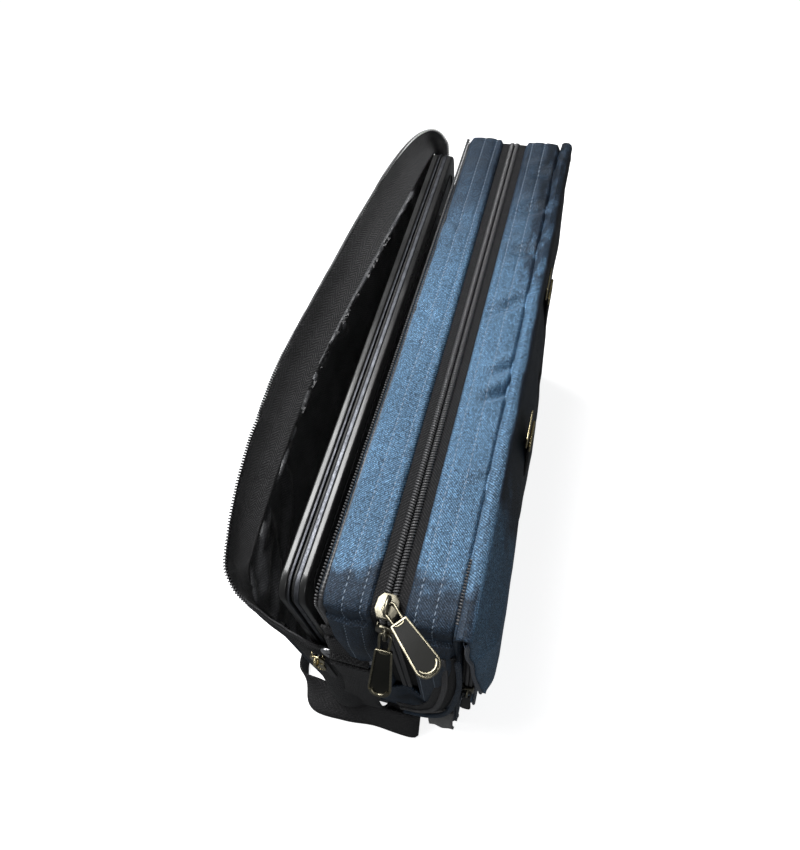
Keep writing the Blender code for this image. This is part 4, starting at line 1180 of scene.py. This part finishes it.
def pull(name, pin, tip_way, out, length, narrow, wide, body, slot, plate=None, rim=None):
    """A pull on its link: the plate widens to its tip, with an enamelled face in a polished rim."""
    across = out.cross(tip_way)
    place = Matrix.Translation(pin) @ Matrix((tip_way, across, out)).transposed().to_4x4()
    plate, rim = plate or ENAMEL, rim or BRIGHT
    neck = 0.0098
    link = rounded([(-0.0004, -0.0034), (neck + 0.0022, -0.0026), (neck + 0.0022, 0.0026), (-0.0004, 0.0034)],
                   [0.0024, 0.0016, 0.0016, 0.0024], 6, True)
    points = [place @ Vector((p.x, p.y, 0)) for p in link[:-1]]
    ride(wire(name + "_link", points, 0.00085, rim, True, 4), body, slot)
    bm = bmesh.new()
    tips = rounded([(neck, -narrow / 2), (length, -wide / 2), (length, wide / 2), (neck, narrow / 2)],
                   [0.0012, wide * 0.40, wide * 0.40, 0.0012], 8, True)[:-1]
    first, last = prism(bm, [(p.x, p.y, -0.0011) for p in tips], Vector((0, 0, 0.0022)))
    rims = list({edge for face in (first, last) for edge in face.edges})
    bmesh.ops.bevel(bm, geom=rims, offset=0.0005, segments=3, profile=0.5, affect="EDGES", material=-1)
    bm.normal_update()
    for way in (1, -1):
        face = max(bm.faces, key=lambda f: f.calc_area() * (f.normal.z * way > 0.9))
        bmesh.ops.inset_region(bm, faces=[face], thickness=0.0006, depth=0.0)
        bmesh.ops.inset_region(bm, faces=[face], thickness=0.0002, depth=-0.0004)
        face.material_index = 1
    bmesh.ops.recalc_face_normals(bm, faces=bm.faces)
    made = keep(name, bm, [rim, plate])
    moved(made, place)
    ride(made, body, slot, body)
    return place


def crescent(name, place, length, wide, body, slot):
    """The polished lip round the thumb hollow at the pull's tip."""
    centre = length - wide * 0.42
    radius = wide * 0.30
    points = []
    for step in range(17):
        angle = math.radians(-80 + step * 10)
        points.append(place @ Vector((centre + radius * math.cos(angle), radius * 1.12 * math.sin(angle),
                                      0.0010)))
    ride(wire(name, points, 0.0011, BRIGHT, sides=4), body, slot)


def joint_spot(name):
    joint = JOINTS[name]
    return Vector(joint["pos_m"]), Vector(joint["axis"]).normalized()


def make_zip_parts():
    top = CHAIN_TOP
    pin, axis = joint_spot("main_pull_a_hinge")
    slider("slider_a_body", Vector((pin.x, 0, top)), X, Z, 0.0128, NICKEL, "main_slider_a", "dark_nickel")
    way = axis.cross(Z).normalized()
    way = way if way.x < 0 else -way
    place = pull("pull_a_plate", pin, way, Z, 0.041, 0.0100, 0.0150, "main_pull_a", "pull_plate")
    crescent("pull_a_lip", place, 0.041, 0.0150, "main_pull_a", "pull_plate")

    pin, axis = joint_spot("main_pull_b_hinge")
    near_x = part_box("main_zip_chain")[0].x
    slider("slider_b_body", Vector((near_x, 0, pin.z)), Z, -X, 0.0128, NICKEL, "main_slider_b", "dark_nickel")
    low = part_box("main_pull_b")[0]
    way = (Vector((low.x, 0, low.z)) - pin).normalized()
    out = way.cross(Y).normalized()
    out = out if out.x < 0 else -out
    place = pull("pull_b_plate", pin, way, out, 0.041, 0.0100, 0.0140, "main_pull_b", "pull_plate")
    crescent("pull_b_lip", place, 0.041, 0.0140, "main_pull_b", "pull_plate")

    for side, end in ((-1, "near"), (1, "far")):
        pin, axis = joint_spot("sleeve_pull_%s_hinge" % end)
        face = side * (HALF + 0.0048)
        slider("sleeve_slider_%s_body" % end, Vector((face, pin.y, pin.z)), Z, X * side, 0.0100, BRASS,
               "sleeve_slider_" + end, "pale_brass")
        way = Vector((side * 0.10, 0, -1)).normalized()
        out = Vector((side, 0, side * side * 0.10)).normalized()
        pull("sleeve_pull_%s_plate" % end, pin, way, out, 0.024, 0.0050, 0.0068, "sleeve_pull_" + end,
             "pale_brass", BRASS, BRASS)
    pin, axis = joint_spot("pocket_pull_hinge")
    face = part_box("pocket_zip_chain")[0].x
    slider("pocket_slider_body", Vector((face, pin.y, pin.z)), Z, -X, 0.0098, NICKEL, "pocket_slider",
           "dark_nickel")
    way = Vector((-0.10, 0, -1)).normalized()
    out = Vector((-1, 0, 0.10)).normalized()
    pull("pocket_pull_grip", pin, way, out, 0.042, 0.0060, 0.0088, "pocket_pull", "black_rubber",
         RUBBER, RUBBER)


# ---------------------------------------------------------------- shoulder strap and its rings

def ribbon(name, rows, width, thickness, finish):
    """Webbing along rows of (x, y, z, side x, side y, side z), with UVs in metres."""
    run = Run([Vector(row[:3]) for row in rows])
    sides = [Vector(row[3:]).normalized() for row in rows]

    def place(u, v):
        distance = u * run.length
        i = 0
        while i < len(run.marks) - 2 and run.marks[i + 1] < distance:
            i += 1
        share = (distance - run.marks[i]) / max(run.marks[i + 1] - run.marks[i], 1e-9)
        point = run.points[i].lerp(run.points[i + 1], share)
        side = sides[i].lerp(sides[i + 1], share).normalized()
        return point + side * ((v - 0.5) * width)

    across = max(int(run.length / 0.003), 8)
    return sheet(name, across, 6, place, (run.length, width), finish, thickness, 0.0)


def make_strap():
    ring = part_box("strap_ring_near")
    ring_x = (abs(ring[0].x) + abs(ring[1].x)) / 2
    ring_y = (ring[0].y + ring[1].y) / 2
    wire_r = 0.0021
    top, bottom = ring[1].z - wire_r, ring[0].z + wire_r
    half = (ring[1].y - ring[0].y) / 2 - wire_r
    width = STRAP_WIDTH
    for side, end in ((-1, "near"), (1, "far")):
        corners = [(-half, top), (half, top), (half, bottom), (-half, bottom)]
        loop = rounded(corners, [0.003, 0.003, 0.015, 0.015], 10, True)[:-1]
        points = [(side * ring_x, ring_y + p.x, p.y) for p in loop]
        ride(wire("ring_wire_" + end, points, wire_r, STEEL, True, 6), "case", "steel", "strap_ring_" + end)
        low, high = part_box("ring_tab_" + end)
        reach = 0.0040
        rows = [(side * (HALF + 0.0052 - 0.0040), ring_y, high.z, 0, 1, 0)]
        rows.append((side * (ring_x - reach), ring_y, top + 0.016, 0, 1, 0))
        for step in range(15):
            angle = math.radians(160 + step * 20)
            x = side * (ring_x + reach * math.cos(angle))
            rows.append((x, ring_y, top + reach * math.sin(angle), 0, 1, 0))
        rows.append((side * (ring_x - reach + 0.0022), ring_y, top + 0.030, 0, 1, 0))
        tab = ribbon("tab_webbing_" + end, rows, 0.025, 0.0014, WEBBING)
        ride(tab, "case", "webbing", "ring_tab_" + end)

    low = width / 2 + 0.0005
    lift = low + 0.0042
    hang = ring_x + 0.0002
    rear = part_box("strap_rear_run")[0].y - 0.0002
    flat, upright = (0, 1, 0), (0, 0, 1)
    under = bottom - 0.0038
    turned, leaning = (0, -1, 0), (0.45, 0, 0.89)
    route = [(-hang - 0.0030, ring_y, under + 0.010, *turned),
             (-hang - 0.0036, ring_y, under + 0.003, *turned),
             (-hang - 0.0004, ring_y, under - 0.004, *turned), (-hang, ring_y + 0.001, 0.150, *turned),
             (-hang - 0.0005, ring_y + 0.007, 0.092, *turned),
             (-hang - 0.001, ring_y + 0.013, 0.050, *turned),
             (-hang - 0.002, ring_y + 0.007, 0.026, 0, -0.84, 0.54),
             (-hang - 0.002, ring_y - 0.009, low, *leaning),
             (-hang - 0.002, 0.008, low, *leaning), (-hang - 0.003, -0.001, low, *leaning),
             (-hang - 0.006, -0.0065, low, *leaning), (-hang - 0.0085, -0.001, low, *leaning),
             (-hang - 0.0085, 0.012, low, *leaning), (-hang - 0.0075, 0.035, low, *leaning),
             (-hang - 0.006, 0.060, 0.0115, 0.72, -0.10, 0.66),
             (-hang - 0.004, 0.086, 0.0105, 0.74, -0.35, 0.56),
             (-hang + 0.010, rear + 0.002, low, *upright),
             (-0.170, rear + 0.006, low, *upright), (-0.110, rear + 0.001, low, *upright),
             (-0.050, rear + 0.002, low + 0.002, *upright), (0.0, rear + 0.004, lift, *upright),
             (0.050, rear + 0.002, low + 0.002, *upright), (0.110, rear + 0.001, low, *upright),
             (0.170, rear + 0.006, low, *upright), (hang - 0.006, rear + 0.002, low, *upright),
             (hang + 0.007, 0.088, low, *upright), (hang + 0.006, 0.060, low + 0.004, 0, 0.3, 0.95),
             (hang + 0.004, 0.040, 0.042, 0, 0.8, 0.6), (hang + 0.002, 0.030, 0.080, *flat),
             (hang, ring_y, 0.130, *flat), (hang + 0.0004, ring_y, under - 0.004, *flat),
             (hang + 0.0036, ring_y, under + 0.003, *flat), (hang + 0.0030, ring_y, under + 0.010, *flat)]
    rows = curve_through(route, 7)
    made = ribbon("strap_webbing", rows, width, 0.0015, WEBBING)
    ride(made, "case", "webbing", "strap_near_drop", "strap_near_run", "strap_rear_run", "strap_far_run",
         "strap_far_drop")
    for side, end in ((-1, "near"), (1, "far")):
        turn = [(side * (hang - 0.0035), ring_y, under - 0.012, *flat)]
        for step in range(13):
            angle = math.radians(200 - step * 20)
            x = side * (ring_x + 0.0038 * math.cos(angle))
            turn.append((x, ring_y, bottom + 0.0034 * math.sin(angle), *flat))
        turn.append((side * (hang + 0.0022), ring_y, under - 0.010, *flat))
        turn.append((side * (hang + 0.0018), ring_y, under - 0.034, *flat))
        made = ribbon("strap_turn_" + end, turn, width, 0.0015, WEBBING)
        ride(made, "case", "webbing")
    box_low, box_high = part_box("strap_adjuster")
    centre = (box_low + box_high) / 2
    outer = [(p.x + centre.x, box_low.y, p.y) for p in box_outline(0.011, box_low.z, box_high.z, 0.003)]
    made = solid_outline("adjuster_frame", outer, (0, 0.0014, 0), PLASTIC, 0.0005, 3)
    ride(made, "case", "black_plastic", "strap_adjuster")
    for way in (-1, 1):
        x, y = centre.x + way * 0.0085, centre.y + 0.0016
        bar = [(x, y, box_low.z + 0.002), (x, y, box_high.z - 0.002)]
        ride(wire("adjuster_bar_%d" % (way + 1), bar, 0.0012, PLASTIC, sides=4), "case", "black_plastic")


def make_near_end_trim():
    """The side zip's curved lower end, its piping and a grey felt-faced tongue at the near end."""
    arc = curve_through([(-0.0300, 0.262), (-0.0310, 0.232), (-0.0305, 0.188), (-0.0240, 0.128),
                         (-0.0120, 0.092), (0.0060, 0.082)], 10)
    run = Run([(-HALF - 0.0040 - 0.0060 * smooth(0.25, 0.12, z), y, z) for y, z in arc])
    spots = []
    distance = 0.0
    while distance < run.length:
        point, direction = run.smooth_at(distance)
        across = direction.cross(-X).normalized()
        spots.append((point, (across + direction * 0.25).normalized(), -X))
        distance += 0.0019
    ride(beads("side_coils", spots, (0.0046, 0.0013, 0.0022), COIL), "case", "zip_black")

    def tape(u, v):
        point, direction = run.smooth_at(u * run.length, 0.003)
        across = direction.cross(-X).normalized()
        return point + across * ((v - 0.5) * 0.014) + X * (0.0012 + 0.0012 * abs(v - 0.5) * 2)

    ride(sheet("side_tape", 90, 6, tape, (run.length, 0.014), TAPE, 0.0008, 0.0), "case", "zip_black")
    inner = []
    for i in range(70):
        point, direction = run.smooth_at(run.length * i / 69)
        inner.append(point + direction.cross(-X).normalized() * -0.0088 - X * 0.0004)
    ride(wire("side_piping", inner, 0.0018, BLUE, sides=4), "case", "blue_nylon")

    def tongue(u, v):
        y = -0.016 - 0.020 * u
        z = 0.008 + 0.085 * v
        x = -HALF - 0.0050 - 0.0045 * math.sin(math.pi * v) + 0.0012 * rough((u, v, 0), 0.4)
        return Vector((x, y, z))

    ride(sheet("grey_tongue", 14, 30, tongue, (0.020, 0.085), GREY_CLOTH, 0.0022, 0.0), "case", "webbing")


# ---------------------------------------------------------------- stage

def area_light(name, place, target, size, power, colour=(1, 1, 1)):
    light = bpy.data.lights.new(name, "AREA")
    light.shape = "RECTANGLE"
    light.size, light.size_y = size
    light.energy = power
    light.color = colour
    made = bpy.data.objects.new(name, light)
    made.location = place
    made.rotation_euler = (Vector(target) - Vector(place)).to_track_quat("-Z", "Y").to_euler()
    bpy.context.collection.objects.link(made)


def make_stage():
    bpy.ops.mesh.primitive_plane_add(size=12, location=(0, 0, -0.0006))
    floor = bpy.context.object
    floor.name = "pale_floor"
    paper = Finish("pale_paper", Roughness=0.9, Specular_IOR_Level=0.1)
    mottle = paper.noise(paper.place(), 3.0)
    paper.colour(paper.blend(mottle, (0.86, 0.86, 0.86, 1), (0.9, 0.9, 0.9, 1)))
    paper.shader.inputs["Emission Color"].default_value = (1, 1, 1, 1)
    paper.shader.inputs["Emission Strength"].default_value = 0.80
    floor.data.materials.append(paper.material)
    floor.visible_diffuse = False
    floor.visible_glossy = False
    world = bpy.data.worlds.new("pale_room")
    world.use_nodes = True
    world.node_tree.nodes["Background"].inputs[0].default_value = (0.92, 0.96, 1.0, 1)
    world.node_tree.nodes["Background"].inputs[1].default_value = 0.13
    bpy.context.scene.world = world
    area_light("overhead", (0.12, 0.34, 1.10), (0.02, 0.02, 0.28), (0.5, 0.5), 14)
    area_light("left_soft", (-0.35, 0.75, 0.95), (0.0, 0.05, 0.2), (0.45, 0.45), 3)
    area_light("near_soft", (-0.95, -0.5, 0.75), (-0.15, 0.0, 0.2), (0.5, 0.5), 1.6)


def make_camera():
    lens = bpy.data.cameras.new("camera")
    lens.sensor_width = 36
    lens.lens = 36 * 640 / 850
    lens.clip_start = 0.01
    made = bpy.data.objects.new("camera", lens)
    heading, dip, roll = math.radians(21.555), math.radians(57.462), math.radians(-7.895)
    ahead = Vector((math.cos(heading) * math.cos(dip), math.sin(heading) * math.cos(dip), -math.sin(dip)))
    level = ahead.cross(Z).normalized()
    up = level.cross(ahead)
    right = level * math.cos(roll) + up * math.sin(roll)
    turned_up = up * math.cos(roll) - level * math.sin(roll)
    turn = Matrix((right, turned_up, -ahead)).transposed().to_4x4()
    made.matrix_world = Matrix.Translation((-0.2778, -0.0538, 0.6233)) @ turn
    bpy.context.collection.objects.link(made)
    bpy.context.scene.camera = made


make_camera()
make_top()
make_ends()
make_sleeve()
make_cover()
make_inner_case()
make_pocket()
make_flap()
make_front_seam()
make_handle()
make_zip_parts()
make_strap()
make_near_end_trim()
make_stage()

bpy.context.scene.view_settings.view_transform = "Standard"
